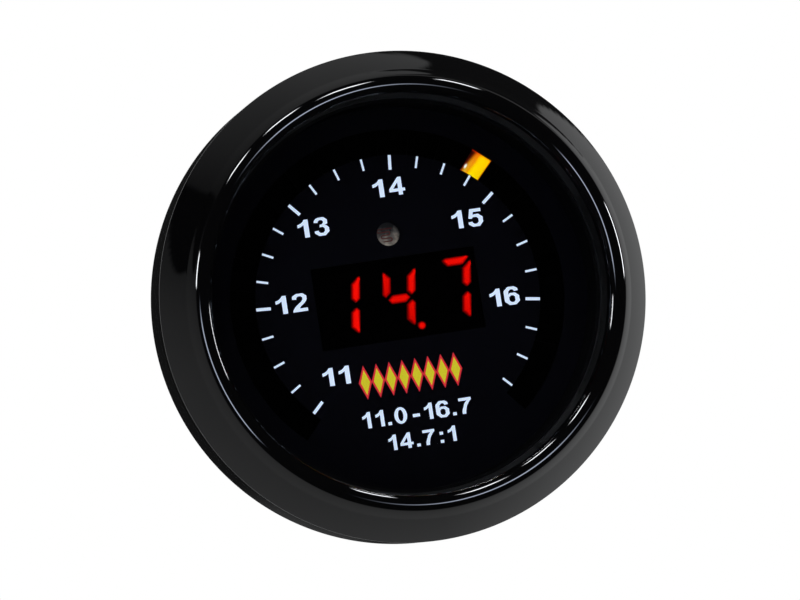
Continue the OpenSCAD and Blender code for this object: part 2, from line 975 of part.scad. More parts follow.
module split_washers() {
    color("#c2c5c9")
        for (side = [-1, 1])
            at(0, side * stud_spacing / 2)
                difference() {
                    bar(washer_r, strap_back_y, nut_y);
                    bar(stud_r + strap_clearance, strap_back_y - cut, nut_y + cut);
                    at(washer_r, 0)
                        block(2 * (washer_r - stud_r), split_w, strap_back_y - cut, nut_y + cut);
                }
}

// A thumb nut: a smooth collar and a knurled head with bevelled edges.
module thumb_nut() {
    head_y = nut_y + nut_collar_h;
    bevel = 2 * knurl_r;
    difference() {
        turned()
            polygon([
                [stud_r + nut_clearance, nut_y],
                [nut_collar_r, nut_y],
                [nut_collar_r, head_y],
                [nut_r - bevel, head_y],
                [nut_r, head_y + bevel],
                [nut_r, nut_back_y - bevel],
                [nut_r - bevel, nut_back_y],
                [stud_r + nut_clearance, nut_back_y]
            ]);
        for (i = [0:knurls - 1])
            at_polar(nut_r, i * 360 / knurls)
                bar(knurl_r, head_y - cut, nut_back_y + cut);
    }
}

module thumb_nut_upper() {
    color("#c4a35a")
        at(0, stud_spacing / 2)
            thumb_nut();
}

module thumb_nut_lower() {
    color("#c4a35a")
        at(0, -stud_spacing / 2)
            thumb_nut();
}

bezel_ring();
lens();
lens_seal();
trim_ring();
dial_plate();
smoked_filter();
light_carrier();
lamps_dark();
lamp_lit();
display_module();
strokes_dark();
strokes_lit();
light_sensor();
front_board();
lamp_drivers();
pin_strip();
board_pins();
rear_board();
processor();
voltage_regulator();
capacitors();
power_socket();
power_contacts();
probe_socket();
probe_contacts();
selector_body();
selector_rotor();
spacer_tubes();
long_screws();
cup_housing();
rear_cover();
clamp_studs();
clamp_strap();
split_washers();
thumb_nut_upper();
thumb_nut_lower();
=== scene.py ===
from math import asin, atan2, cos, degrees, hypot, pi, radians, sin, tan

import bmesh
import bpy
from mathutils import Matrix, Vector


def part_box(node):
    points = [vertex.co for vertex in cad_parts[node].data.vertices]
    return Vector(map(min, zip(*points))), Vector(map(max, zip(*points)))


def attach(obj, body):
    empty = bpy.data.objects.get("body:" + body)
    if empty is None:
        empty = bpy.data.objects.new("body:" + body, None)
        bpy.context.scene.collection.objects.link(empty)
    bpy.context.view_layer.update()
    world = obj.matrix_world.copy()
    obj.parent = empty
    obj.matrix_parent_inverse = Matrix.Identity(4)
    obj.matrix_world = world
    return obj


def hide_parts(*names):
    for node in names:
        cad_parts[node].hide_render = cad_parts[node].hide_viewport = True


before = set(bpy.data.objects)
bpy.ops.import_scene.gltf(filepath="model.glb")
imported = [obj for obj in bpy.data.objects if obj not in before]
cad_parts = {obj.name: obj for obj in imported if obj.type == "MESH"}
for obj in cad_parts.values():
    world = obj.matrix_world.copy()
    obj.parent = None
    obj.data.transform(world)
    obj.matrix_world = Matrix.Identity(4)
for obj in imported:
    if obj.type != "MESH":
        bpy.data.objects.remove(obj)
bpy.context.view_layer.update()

# %% [markdown]
# # A dashboard gauge, dressed for its picture
#
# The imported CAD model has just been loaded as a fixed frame: every piece is in metres, the
# face looks towards -Y, +Z is up on the dial, and Y is 0 where the cup's collar rests on the
# panel. This lesson keeps each CAD piece where it is. It gives the pieces real finishes,
# replaces a few of them by finer meshes of the same shape, and adds what CAD leaves out:
# print, lit strokes, threads and the studio that the gloss black plastic reflects.

# %% [markdown]
# ## Units and colours
#
# A gauge is drawn in millimetres, so the sizes below are too, and one function turns them
# into metres. Colours are written as the eye names them, in sRGB hex, and one function turns
# them into the linear values that the shaders count in. Two more small functions follow: one
# eases a value in and out, and one puts an object in the scene.

# %% Millimetres, hex colours and new objects
MM = 0.001


def mm(*values):
    """Millimetres to metres: one number, or a Vector of three."""
    return values[0] * MM if len(values) == 1 else Vector(values) * MM


def linear(code):
    """An sRGB hex colour such as #102030 as linear red, green, blue and an alpha of 1."""
    parts = [int(code[i : i + 2], 16) / 255 for i in (1, 3, 5)]
    return [p / 12.92 if p <= 0.04045 else ((p + 0.055) / 1.055) ** 2.4 for p in parts] + [1.0]


def ease(x, start, end):
    """0 before start, 1 past end, and a smooth step between them."""
    t = max(0.0, min(1.0, (x - start) / (end - start)))
    return t * t * (3 - 2 * t)


def new_object(name, data):
    """An object in the scene, at the origin."""
    obj = bpy.data.objects.new(name, data)
    bpy.context.scene.collection.objects.link(obj)
    return obj


print("mid grey is", [round(x, 3) for x in linear("#808080")[:3]], "in linear light")

# %% [markdown]
# ## The gauge's own sizes
#
# These repeat the values of the CAD source, because a finer mesh has to fill exactly the same
# space. The lowest and highest corner of the bezel's CAD node are printed.

# %% Radii and depths
BEZEL_R, THREAD_R, THREAD_STEP, POCKET_R, LIP_R = 29.98, 28.38, 0.3, 26.0, 24.32
CREST_R, CREST_RING_R, CREST_Y = 1.08, 25.4, -14.82
RIM_Y, RIM_ROUND, SKIRT_BACK_Y = -9.7, 0.4, -0.2
LENS_Y, RELIEF_Y, THREAD_BACK_Y = -13.67, -10.0, -5.0
DIAL_Y, FILTER_BACK_Y, TIP_Y = -5.17, -4.27, -4.17
LAMP_RING_R, LIT_ANGLE = 19.25, 50.75
STUD_END_Y, STUD_R, STUD_Z = 44.7, 2.5, 15.0

low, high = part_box("bezel_ring")
print("bezel radius", round(high.x / MM, 2), "front", round(low.y / MM, 2), "back", round(high.y / MM, 2))

# %% [markdown]
# ## The camera
#
# The photograph was taken from the left of the gauge's axis and a little below it, with a
# long lens, and the gauge was turned nine degrees counter-clockwise in the picture. Turning
# the camera instead keeps the gauge upright in its own frame. The place and the three
# directions were fitted to the rim, the marks of the scale and the readout.

# %% Camera
FOCAL_MM, SENSOR_MM, CAMERA_AT = 203.0, 36.0, (-96.2, -548.7, -23.9)
camera_data = bpy.data.cameras.new("camera")
camera_data.lens, camera_data.sensor_width = FOCAL_MM, SENSOR_MM
camera_data.clip_start, camera_data.clip_end = 0.01, 20
camera = new_object("camera", camera_data)
forward = Vector((0.174375, 0.98369, 0.042845)).normalized()
up = Vector((0.1447, -0.0685, 0.9871))
right = forward.cross(up).normalized()
up = right.cross(forward)
turned = Matrix((right, up, -forward)).transposed().to_4x4()
camera.matrix_world = Matrix.Translation(mm(*CAMERA_AT)) @ turned
bpy.context.scene.camera = camera
print("camera looks along", [round(x, 3) for x in forward])

# %% [markdown]
# ## Small tools for materials
#
# A material is a tree of nodes. One function adds a node of any kind, sets its settings and
# links or fills its inputs, so that each material below reads as a list of what it is made of.
# The others make what most materials share: a shader, a ramp, a grain and small bumps.

# %% Adding nodes and starting materials
def add(tree, kind, inputs=None, **settings):
    """Adds a node, sets its settings, and fills each input with a value or with another output."""
    node = tree.nodes.new(kind)
    for name, value in settings.items():
        setattr(node, name, value)
    for key, value in (inputs or {}).items():
        if isinstance(value, bpy.types.NodeSocket):
            tree.links.new(value, node.inputs[key])
        else:
            node.inputs[key].default_value = value
    return node


def maths(tree, operation, *values):
    """The outcome of a Math node, whose inputs are numbers or other outputs."""
    return add(tree, "ShaderNodeMath", dict(enumerate(values)), operation=operation).outputs[0]


def mapped(tree, value, *limits, **settings):
    """A value moved from one range into another: from low, from high, to low, to high."""
    named = zip(("From Min", "From Max", "To Min", "To Max"), limits)
    return add(tree, "ShaderNodeMapRange", {"Value": value, **dict(named)}, **settings).outputs[0]


def combine(tree, **axes):
    """A vector from its X, Y and Z."""
    return add(tree, "ShaderNodeCombineXYZ", axes).outputs[0]


def bare_material(name):
    """A material with an empty tree, and its output."""
    mat = bpy.data.materials.new(name)
    mat.use_nodes = True
    mat.node_tree.nodes.clear()
    return mat, mat.node_tree, add(mat.node_tree, "ShaderNodeOutputMaterial")


def start_material(name, principled):
    """A material with one Principled shader."""
    mat, tree, out = bare_material(name)
    shader = add(tree, "ShaderNodeBsdfPrincipled", principled)
    tree.links.new(shader.outputs[0], out.inputs["Surface"])
    return mat, tree, shader


def ramp_of(tree, factor, stops):
    """A colour ramp through (place, hex colour) stops."""
    node = add(tree, "ShaderNodeValToRGB", {"Fac": factor})
    band = node.color_ramp
    for place, code in stops[1:-1]:
        band.elements.new(place).color = linear(code)
    for end, (place, code) in ((0, stops[0]), (-1, stops[-1])):
        band.elements[end].position = place
        band.elements[end].color = linear(code)
    return node.outputs["Color"]


def on_object(tree):
    """Places on the piece in its own coordinates."""
    return add(tree, "ShaderNodeTexCoord").outputs["Object"]


def grain_of(tree, place, grain_mm, detail, **inputs):
    """Noise whose grain has a real size."""
    inputs.update({"Vector": place, "Scale": 1 / mm(grain_mm), "Detail": detail})
    return add(tree, "ShaderNodeTexNoise", inputs).outputs["Fac"]


def add_bumps(tree, shader, height, strength, depth_mm):
    """Turns a height into small bumps of the shader's surface."""
    bumps = add(tree, "ShaderNodeBump", {"Height": height, "Strength": strength, "Distance": mm(depth_mm)})
    tree.links.new(bumps.outputs[0], shader.inputs["Normal"])


ROUGHNESS_SPREAD, GRAIN_DEPTH = 0.08, 0.05


def grained(name, base, spots, grain_mm, roughness, bump, metallic=0.0, stretch=(1, 1, 1), **extra):
    """A solid finish whose colour, roughness and surface vary with a fine grain of a real size."""
    mat, tree, shader = start_material(name, {"Metallic": metallic, **extra})
    grid = add(tree, "ShaderNodeMapping", {"Vector": on_object(tree), "Scale": stretch}).outputs[0]
    noise = grain_of(tree, grid, grain_mm, 3.0, Roughness=0.6)
    tree.links.new(ramp_of(tree, noise, [(0.3, base), (0.7, spots)]), shader.inputs["Base Color"])
    smoothest, roughest = max(0.0, roughness - ROUGHNESS_SPREAD), roughness + ROUGHNESS_SPREAD
    tree.links.new(mapped(tree, noise, 0, 1, smoothest, roughest), shader.inputs["Roughness"])
    add_bumps(tree, shader, noise, bump, GRAIN_DEPTH)
    print("material", name)
    return mat


# %% [markdown]
# ## Plastics of the outside
#
# The bezel is moulded ABS, polished in the mould: a black that shows only what it reflects.
# Its surface is nearly flat, with the faint waviness that moulded gloss has. The cup and the
# rear cover come from the same black but a spark-eroded mould, which leaves a fine satin grain.

# %% Bezel, cup and sockets
bezel_abs, tree, shader = start_material(
    "moulded_abs_gloss_black",
    {"Base Color": linear("#060607"), "Roughness": 0.035, "IOR": 1.52},
)
add_bumps(tree, shader, grain_of(tree, on_object(tree), 6.0, 1.0), 0.02, 0.03)

# Spark-eroded grain is about 0.15 mm; it is drawn at 0.3 mm so that it shows.
cup_abs = grained("moulded_abs_satin_black", "#131315", "#1B1B1E", 0.3, 0.42, 0.25)
# Glass-filled nylon has short pale streaks and a duller skin.
socket_nylon = grained("moulded_nylon_black", "#1A1A1C", "#26262A", 0.4, 0.5, 0.2, stretch=(1, 0.3, 1))
# The mouldings behind the dial are left matt, so that no stray light shows.
dark_moulding = grained(
    "moulded_polycarbonate_matt_black", "#070708", "#0B0B0D", 0.4, 0.8, 0.1, **{"Specular IOR Level": 0.08}
)
seal_rubber = grained("cut_rubber_sheet", "#161616", "#1E1E1E", 0.2, 0.8, 0.4)

# %% [markdown]
# ## Metals behind the panel
#
# The strap, studs, washers and screws are steel with bright zinc: slightly blue, with fine
# drawn lines and a soft shine. The thumb nuts are turned brass. The contacts are gold over
# nickel, and the spacers are cut from drawn aluminium tube.

# %% Zinc, brass, gold and aluminium
zinc_steel = grained(
    "zinc_plated_steel", "#AEB2B8", "#C6C9CC", 0.25, 0.28, 0.12, metallic=1.0, stretch=(1, 0.15, 1)
)
strap_zinc = grained(
    "zinc_plated_steel_strip", "#A4A8AE", "#BFC3C7", 0.3, 0.32, 0.15, metallic=1.0, stretch=(0.12, 1, 1)
)
nut_brass = grained(
    "turned_brass", "#B58E46", "#CFAE66", 0.2, 0.26, 0.12, metallic=1.0, stretch=(0.3, 1, 0.3)
)
contact_gold = grained("gold_plated_contact", "#D2AC55", "#E0C070", 0.3, 0.22, 0.05, metallic=1.0)
spacer_aluminium = grained(
    "drawn_aluminium", "#B9BCBF", "#CDD0D2", 0.3, 0.3, 0.1, metallic=1.0, stretch=(1, 0.1, 1)
)

# %% [markdown]
# ## Inside the cup
#
# Little of this shows, but each piece still gets the finish that it has: green lacquer over
# woven glass for the boards, moulded epoxy for the chips, drawn cans, and the coated disc of
# the light sensor, which also has painted shade at its top.

# %% Boards, chips and cans
board_laminate = grained("glass_laminate_green_lacquer", "#12532F", "#1A6B3E", 0.6, 0.3, 0.2)
chip_epoxy = grained("moulded_epoxy_black", "#1C1C1E", "#28282B", 0.2, 0.55, 0.3)
can_aluminium = grained("drawn_aluminium_can", "#B4B7BA", "#C8CBCD", 0.4, 0.25, 0.05, metallic=1.0)
selector_blue = grained("moulded_polyester_blue", "#16407C", "#1D4C90", 0.5, 0.35, 0.1)
selector_nylon = grained("moulded_nylon_cream", "#D6CFBC", "#E2DCCB", 0.4, 0.45, 0.1)
lamp_epoxy = grained("clear_epoxy_unlit", "#0A0A09", "#0E0E0C", 0.5, 0.3, 0.05)
stroke_epoxy = grained("cast_epoxy_dark_red", "#0C0303", "#100404", 0.5, 0.3, 0.05)

# Painted shade: the disc of the light sensor is darkened at its top, where it lies in the dial's shade, and
# is paler below.
sensor_disc_painted_shade, tree, shader = start_material("coated_ceramic_disc_painted_shade", {"Roughness": 0.5})
place = on_object(tree)
height = add(tree, "ShaderNodeSeparateXYZ", {0: place}).outputs["Z"]
# painted shade: the disc is darker towards its top and paler below
lower = mapped(tree, height, mm(9.3), mm(7.0), -0.5, 0.24)
pale = maths(tree, "ADD", grain_of(tree, place, 0.7, 2.0), lower)
disc = ramp_of(tree, pale, [(0.2, "#1A1818"), (0.5, "#6E6862"), (0.7, "#A2968A"), (0.95, "#D8CCB8")])
tree.links.new(disc, shader.inputs["Base Color"])

# %% [markdown]
# ## Clear and smoked sheet
#
# The lens is flat acrylic. A flat sheet hardly bends what is seen through it, so it is made
# from two shaders: light that passes straight on, and a sharp reflection whose share grows
# at a flat angle, as Fresnel's law says. With the index of bare acrylic, 1.49, a bar of the
# studio hides the dial when it is seen from the right, so the lens gets the weaker mirror of a
# sheet coated against glare. The filter behind the dial is the same with a smoke tint, which
# lets a lit lamp through and hides a dark one.

# %% Acrylic and smoked filter
def clear_sheet(name, tint, ior, roughness):
    """A flat clear sheet: straight-through light, tinted, and a reflection by Fresnel's law."""
    mat, tree, out = bare_material(name)
    through = add(tree, "ShaderNodeBsdfTransparent", {"Color": linear(tint)})
    shine = add(tree, "ShaderNodeBsdfGlossy", {"Color": linear("#FFFFFF"), "Roughness": roughness})
    share = add(tree, "ShaderNodeFresnel", {"IOR": ior})
    both = add(tree, "ShaderNodeMixShader", {0: share.outputs[0], 1: through.outputs[0], 2: shine.outputs[0]})
    tree.links.new(both.outputs[0], out.inputs["Surface"])
    print("material", name)
    return mat


lens_acrylic = clear_sheet("coated_clear_acrylic_sheet", "#FCFDFE", 1.16, 0.01)
smoked_sheet = clear_sheet("smoked_polycarbonate_sheet", "#B3B3B5", 1.2, 0.1)

# %% [markdown]
# ## The dial and its inks
#
# The dial is thin polycarbonate, screen printed with a black that leans to blue. The marks
# and figures are a cold white ink. The band under the readout has a yellow ink with a red
# outline. Each ink also has a painted glow: it gives off a little light of its own colour.

# %% Dial black and inks
INK_WEAR = 0.82
dial_black = grained(
    "screen_printed_blue_black", "#04040A", "#06060E", 0.8, 0.85, 0.05, **{"Specular IOR Level": 0.04}
)


def ink(name, code, glow):
    """A matt screen ink with a painted glow of its own colour, a little worn by the mesh of the screen."""
    mat, tree, shader = start_material(
        name,
        {"Roughness": 0.6, "Emission Color": linear(code), "Emission Strength": glow},
    )
    mesh = grain_of(tree, on_object(tree), 0.12, 2.0)
    thin = [INK_WEAR * x for x in linear(code)[:3]] + [1.0]
    worn = add(tree, "ShaderNodeMix", {0: mesh, 6: linear(code), 7: thin}, data_type="RGBA")
    tree.links.new(worn.outputs[2], shader.inputs["Base Color"])
    print("ink", name)
    return mat


# painted glow: each ink gives off a little light of its own colour
white_ink = ink("screen_ink_cold_white_painted_glow", "#CAD9EF", 0.7)
yellow_ink = ink("screen_ink_yellow_painted_glow", "#CCC206", 0.5)
red_ink = ink("screen_ink_red_painted_glow", "#D01428", 0.5)

# %% [markdown]
# ## Light that the gauge makes
#
# A lit stroke of the readout is brightest in its middle and darker along its edges, where
# the cast epoxy meets its black frame. Each point of the mesh carries that as an attribute
# named glow, and the material turns it into red light. The filter's smoke is made up for by
# strength.

# %% Lit strokes and the lit lamp
STROKE_RED = [(0.0, "#5A0000"), (0.35, "#B00000"), (0.6, "#DC0800"), (0.85, "#F40C04"), (1.0, "#FF0E05")]


def glowing(name, attribute, output, strength, principled):
    """A material whose glow comes from an attribute of its mesh."""
    mat, tree, shader = start_material(name, {"Emission Strength": strength, **principled})
    carried = add(tree, "ShaderNodeAttribute", attribute_name=attribute).outputs[output]
    light = ramp_of(tree, carried, STROKE_RED) if output == "Fac" else carried
    tree.links.new(light, shader.inputs["Emission Color"])
    return mat


stroke_light = glowing(
    "lit_red_epoxy", "glow", "Fac", 4.6, {"Base Color": linear("#200202"), "Roughness": 0.3}
)
lamp_light = grained("lit_yellow_epoxy", "#B88A00", "#D8A800", 0.5, 0.2, 0.05)
glow_film = glowing(
    "lit_filter_back", "tint", "Color", 2.7, {"Base Color": linear("#000000"), "Roughness": 0.5}
)
print("lit materials:", stroke_light.name, glow_film.name)

# %% [markdown]
# ## Small tools for meshes
#
# Turned pieces come from a lathe, and here from one function that turns a profile of radius
# and depth about the gauge's axis. Faces that meet at a shallow angle are shaded smooth, and
# sharp corners stay sharp.

# %% Making pieces
def finish_piece(obj, material, body, replaces=()):
    """Gives a piece its material and its body, and hides the CAD nodes that it stands for."""
    if material is not None:
        obj.data.materials.clear()
        obj.data.materials.append(material)
    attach(obj, body)
    if replaces:
        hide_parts(*replaces)
    faces = sum(len(p.vertices) - 2 for p in obj.data.polygons)
    print("piece", obj.name, "on", body, "with", faces, "triangles")
    return obj


def new_mesh(name, points, faces):
    """An object at the origin from points in millimetres and faces by index."""
    mesh = bpy.data.meshes.new(name)
    mesh.from_pydata([Vector(p) * MM for p in points], [], faces)
    mesh.validate()
    return new_object(name, mesh)


def carry(mesh, label, values):
    """Gives each point of a mesh a number, or a vector where there are three for each point."""
    is_vector = len(values) == 3 * len(mesh.vertices)
    kind, field = ("FLOAT_VECTOR", "vector") if is_vector else ("FLOAT", "value")
    mesh.attributes.new(label, kind, "POINT").data.foreach_set(field, values)


def grid_faces(columns, rows):
    """The faces of a grid whose points run row by row."""
    firsts = [j * (columns + 1) + i for j in range(rows) for i in range(columns)]
    return [(k, k + 1, k + columns + 2, k + columns + 1) for k in firsts]


def thicken(obj, thickness):
    """Makes a solid film of a sheet, with half of it to either side."""
    solid = obj.modifiers.new("film", "SOLIDIFY")
    solid.thickness, solid.offset = mm(thickness), 0
    depsgraph = bpy.context.evaluated_depsgraph_get()
    film = bpy.data.meshes.new_from_object(obj.evaluated_get(depsgraph))
    obj.modifiers.clear()
    obj.data = film


def turn(name, profile, steps, centre=(0, 0), smooth_below=30):
    """Turns a closed profile of (radius, depth) points about an axis along Y."""
    points, faces, count = [], [], len(profile)
    for s in range(steps):
        a = 2 * pi * s / steps
        points += [(centre[0] + r * cos(a), y, centre[1] + r * sin(a)) for r, y in profile]
    for s in range(steps):
        here, there = s * count, (s + 1) % steps * count
        for i in range(count):
            j = (i + 1) % count
            faces.append((here + i, here + j, there + j, there + i))
    obj = new_mesh(name, points, faces)
    shape = bmesh.new()
    shape.from_mesh(obj.data)
    bmesh.ops.remove_doubles(shape, verts=shape.verts, dist=mm(0.0005))
    bmesh.ops.dissolve_degenerate(shape, edges=shape.edges, dist=mm(0.0005))
    bmesh.ops.recalc_face_normals(shape, faces=shape.faces)
    shape.to_mesh(obj.data)
    shape.free()
    obj.data.shade_smooth()
    obj.data.set_sharp_from_angle(angle=radians(smooth_below))
    return obj


def arc(centre, radius, start, end, steps):
    """Points of an arc from one angle to another, in degrees."""
    angles = [radians(start + (end - start) * i / steps) for i in range(steps + 1)]
    return [(centre[0] + radius * cos(a), centre[1] + radius * sin(a)) for a in angles]


def smooth_copy(node, material, body, edge=0.0, angle=25):
    """A merged, smoothly shaded copy of a CAD node, with its sharp edges broken by a small bevel."""
    obj = new_object(node + "_finish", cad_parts[node].data.copy())
    shape = bmesh.new()
    shape.from_mesh(obj.data)
    bmesh.ops.remove_doubles(shape, verts=shape.verts, dist=mm(0.001))
    bmesh.ops.dissolve_limit(shape, angle_limit=radians(0.6), verts=shape.verts, edges=shape.edges)
    if edge:
        sharp = [e for e in shape.edges if len(e.link_faces) == 2 and e.calc_face_angle(0) > radians(angle)]
        bmesh.ops.bevel(
            shape, geom=sharp, offset=mm(edge), offset_type="OFFSET", segments=2,
            profile=0.5, affect="EDGES", clamp_overlap=True,
        )
    bmesh.ops.triangulate(shape, faces=shape.faces)
    shape.to_mesh(obj.data)
    shape.free()
    if "custom_normal" in obj.data.attributes:
        obj.data.attributes.remove(obj.data.attributes["custom_normal"])
    obj.data.shade_smooth()
    obj.data.set_sharp_from_angle(angle=radians(angle))
    return finish_piece(obj, material, body, [node])


# %% [markdown]
# ## The bezel
#
# The bezel is a ring of gloss plastic with a straight side, a steep flat cone, a round crest
# and a lip over the lens. It reflects like a mirror, so a CAD mesh would show its facets. It
# is turned afresh from the same section with 480 steps and a finely divided crest. The cone
# is the line that touches both the crest and the small round at the rim.

# %% Bezel
reach = (CREST_RING_R - BEZEL_R, CREST_Y - RIM_Y)
cone = degrees(atan2(reach[1], reach[0]) + asin(CREST_R / hypot(*reach)))
rim_back = RIM_ROUND / tan(radians(cone / 2 + 135))
rim = (BEZEL_R - RIM_ROUND, RIM_Y + rim_back)
tail = (BEZEL_R - RIM_ROUND, SKIRT_BACK_Y - RIM_ROUND)
crest_arc = arc((CREST_RING_R, CREST_Y), CREST_R, 180, 450 + cone, 64)
rim_arc = arc(rim, RIM_ROUND, 450 + cone, 360, 8)
# The polisher's wheel softens the run from the crest to the cone: a long arc that leaves the
# crest nine degrees early and meets the cone 1.7 mm on, less than 0.1 mm inside the CAD line.
RUN_EARLY, RUN_ON, RUN_STEPS, LEAVE_PULL, MEET_PULL = 9, 1.7, 24, 0.75, 0.95
touch, crest_end = radians(cone + 90), radians(cone + 90 - RUN_EARLY)
crest_arc = [
    (r, y) for r, y in crest_arc if atan2(y - CREST_Y, r - CREST_RING_R) < crest_end or r < CREST_RING_R
]
touch_spot = Vector((CREST_RING_R + CREST_R * cos(touch), CREST_Y + CREST_R * sin(touch)))
slope = Vector(rim_arc[0]) - touch_spot
leave = Vector(crest_arc[-1])
meet = Vector(rim_arc[0]) - slope.normalized() * (slope.length - RUN_ON)
leave_way = (leave - Vector(crest_arc[-2])).normalized()
run = []
for i in range(1, RUN_STEPS + 1):
    s = i / RUN_STEPS
    near = leave + leave_way * LEAVE_PULL * s
    far_end = meet - slope.normalized() * MEET_PULL * (1 - s)
    run.append(tuple(near + (far_end - near) * s * s * (3 - 2 * s)))
tail_arc = arc(tail, RIM_ROUND, 0, 90, 8)
# The cone is crowned by 0.045 mm, as polished plastic is, so that it mirrors a strip of the room.
CROWN, CROWN_STEPS = 0.045, 24
start, end = Vector(run[-1]), Vector(rim_arc[0])
outward = Vector((start.y - end.y, end.x - start.x)).normalized()
outward = -outward if outward.y > 0 else outward
crowned = []
for i in range(1, CROWN_STEPS):
    s = i / CROWN_STEPS
    crowned.append(tuple(start.lerp(end, s) + outward * CROWN * 4 * s * (1 - s)))
bezel_profile = [
    (THREAD_R + THREAD_STEP, SKIRT_BACK_Y),
    (THREAD_R + THREAD_STEP, THREAD_BACK_Y),
    (THREAD_R, THREAD_BACK_Y),
    (THREAD_R, RELIEF_Y),
    (POCKET_R, RELIEF_Y),
    (POCKET_R, LENS_Y),
    (LIP_R, LENS_Y),
]
bezel_profile += crest_arc + run + crowned + rim_arc + tail_arc
bezel = turn("bezel_turned", bezel_profile, 480, smooth_below=20)
finish_piece(bezel, bezel_abs, "bezel", ["bezel_ring"])
print("the cone faces", round(90 - (cone + 90), 1), "degrees away from the face")

# %% [markdown]
# ## Finishes for the CAD pieces that stay
#
# Most pieces of the CAD model have the right shape already. Each gets the finish of its real
# counterpart, put in the material slot that it came with.

# %% Finishes
FINISHES = {
    lens_acrylic: ["lens"],
    seal_rubber: ["lens_seal"],
    dark_moulding: ["trim_ring", "light_carrier", "display_module", "pin_strip"],
    dial_black: ["dial_plate"],
    smoked_sheet: ["smoked_filter"],
    lamp_epoxy: ["lamps_dark"],
    lamp_light: ["lamp_lit"],
    stroke_epoxy: ["strokes_dark"],
    sensor_disc_painted_shade: ["light_sensor"],
    board_laminate: ["front_board", "rear_board"],
    chip_epoxy: ["lamp_drivers", "processor", "voltage_regulator"],
    can_aluminium: ["capacitors"],
    contact_gold: ["board_pins", "power_contacts", "probe_contacts"],
    selector_blue: ["selector_body"],
    spacer_aluminium: ["spacer_tubes"],
}
for material, nodes in FINISHES.items():
    for node in nodes:
        for material_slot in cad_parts[node].material_slots:
            material_slot.material = material
print("finished", sum(len(nodes) for nodes in FINISHES.values()), "CAD nodes")

# %% [markdown]
# ## Rear pieces with broken edges
#
# No moulded or pressed edge is perfectly sharp: it carries a thin line of light. The pieces
# that are seen from behind are copied, their doubled corners merged, and their sharp edges
# broken by a tiny bevel. The copy stands for the CAD piece.

# %% Cup, cover, sockets, strap and nuts
smooth_copy("cup_housing", cup_abs, "housing")
smooth_copy("rear_cover", cup_abs, "housing", edge=0.12)
smooth_copy("power_socket", socket_nylon, "housing", edge=0.08)
smooth_copy("probe_socket", socket_nylon, "housing", edge=0.08)
smooth_copy("selector_rotor", selector_nylon, "selector", edge=0.05)
smooth_copy("long_screws", zinc_steel, "housing", edge=0.05)
smooth_copy("clamp_strap", strap_zinc, "clamp", edge=0.12)
smooth_copy("split_washers", zinc_steel, "clamp", edge=0.06)
smooth_copy("thumb_nut_upper", nut_brass, "nut_upper", edge=0.05)
smooth_copy("thumb_nut_lower", nut_brass, "nut_lower", edge=0.05)

# %% [markdown]
# ## Threads on the studs
#
# An M5 stud with a fine thread of 0.8 mm has a ridge that climbs one pitch in one turn. A tube
# of many small faces is made by Geometry Nodes, and each point is pulled in or out by where it
# stands between two turns of the ridge. The ridge's top keeps the radius of the CAD stud.

# %% Helpers for Geometry Nodes
def start_tree(name, inputs):
    """A Geometry Nodes tree with named inputs, given as name: (socket type, value)."""
    tree = bpy.data.node_groups.new(name, "GeometryNodeTree")
    tree.interface.new_socket("Geometry", in_out="INPUT", socket_type="NodeSocketGeometry")
    for label, (kind, value) in inputs.items():
        socket = tree.interface.new_socket(label, in_out="INPUT", socket_type=kind)
        if value is not None:
            socket.default_value = value
    tree.interface.new_socket("Geometry", in_out="OUTPUT", socket_type="NodeSocketGeometry")
    return tree, add(tree, "NodeGroupInput").outputs


def end_tree(tree, geometry, given):
    """Ends a tree in Realize Instances and Set Material."""
    real = add(tree, "GeometryNodeRealizeInstances", {0: geometry}).outputs[0]
    dressed = add(tree, "GeometryNodeSetMaterial", {"Geometry": real, "Material": given["Material"]})
    add(tree, "NodeGroupOutput", {0: dressed.outputs[0]})


def grow(name, tree, values, seed_mesh=None):
    """Runs a tree on a mesh, with its inputs set by identifier, and returns a plain object."""
    source = new_object(name + "_source", seed_mesh or bpy.data.meshes.new(name + "_seed"))
    modifier = source.modifiers.new("grow", "NODES")
    modifier.node_group = tree
    for item in tree.interface.items_tree:
        if item.in_out == "INPUT" and item.name in values:
            modifier[item.identifier] = values[item.name]
    depsgraph = bpy.context.evaluated_depsgraph_get()
    mesh = bpy.data.meshes.new_from_object(source.evaluated_get(depsgraph))
    bpy.data.objects.remove(source)
    mesh.name = name
    print("grown:", name, len(mesh.polygons), "faces")
    return new_object(name, mesh)


# %% Stud thread tree
length_kind, count_kind, material_kind = "NodeSocketFloat", "NodeSocketInt", "NodeSocketMaterial"
THREAD_PITCH, THREAD_CORE, STEPS_A_PITCH = 0.8, 2.15, 8
thread_tree, given = start_tree(
    "stud_thread",
    {
        "Radius": (length_kind, mm(STUD_R)),
        "Core": (length_kind, mm(THREAD_CORE)),
        "Pitch": (length_kind, mm(THREAD_PITCH)),
        "Length": (length_kind, mm(20)),
        "Steps": (count_kind, 100),
        "Around": (count_kind, 32),
        "Back": (length_kind, mm(30)),
        "Up": (length_kind, mm(STUD_Z)),
        "Chamfer": (length_kind, mm(0.55)),
        "Material": (material_kind, None),
    },
)
tube = add(
    thread_tree,
    "GeometryNodeMeshCylinder",
    {
        "Vertices": given["Around"],
        "Side Segments": given["Steps"],
        "Radius": given["Radius"],
        "Depth": given["Length"],
    },
).outputs["Mesh"]
position = add(thread_tree, "GeometryNodeInputPosition").outputs[0]
spot = add(thread_tree, "ShaderNodeSeparateXYZ", {0: position}).outputs
turns = maths(thread_tree, "DIVIDE", maths(thread_tree, "ARCTAN2", spot["Y"], spot["X"]), 2 * pi)
rise = maths(thread_tree, "DIVIDE", spot["Z"], given["Pitch"])
share = maths(thread_tree, "PINGPONG", maths(thread_tree, "SUBTRACT", rise, turns), 0.5)
ridge = mapped(thread_tree, share, 0.06, 0.44, given["Core"], given["Radius"])
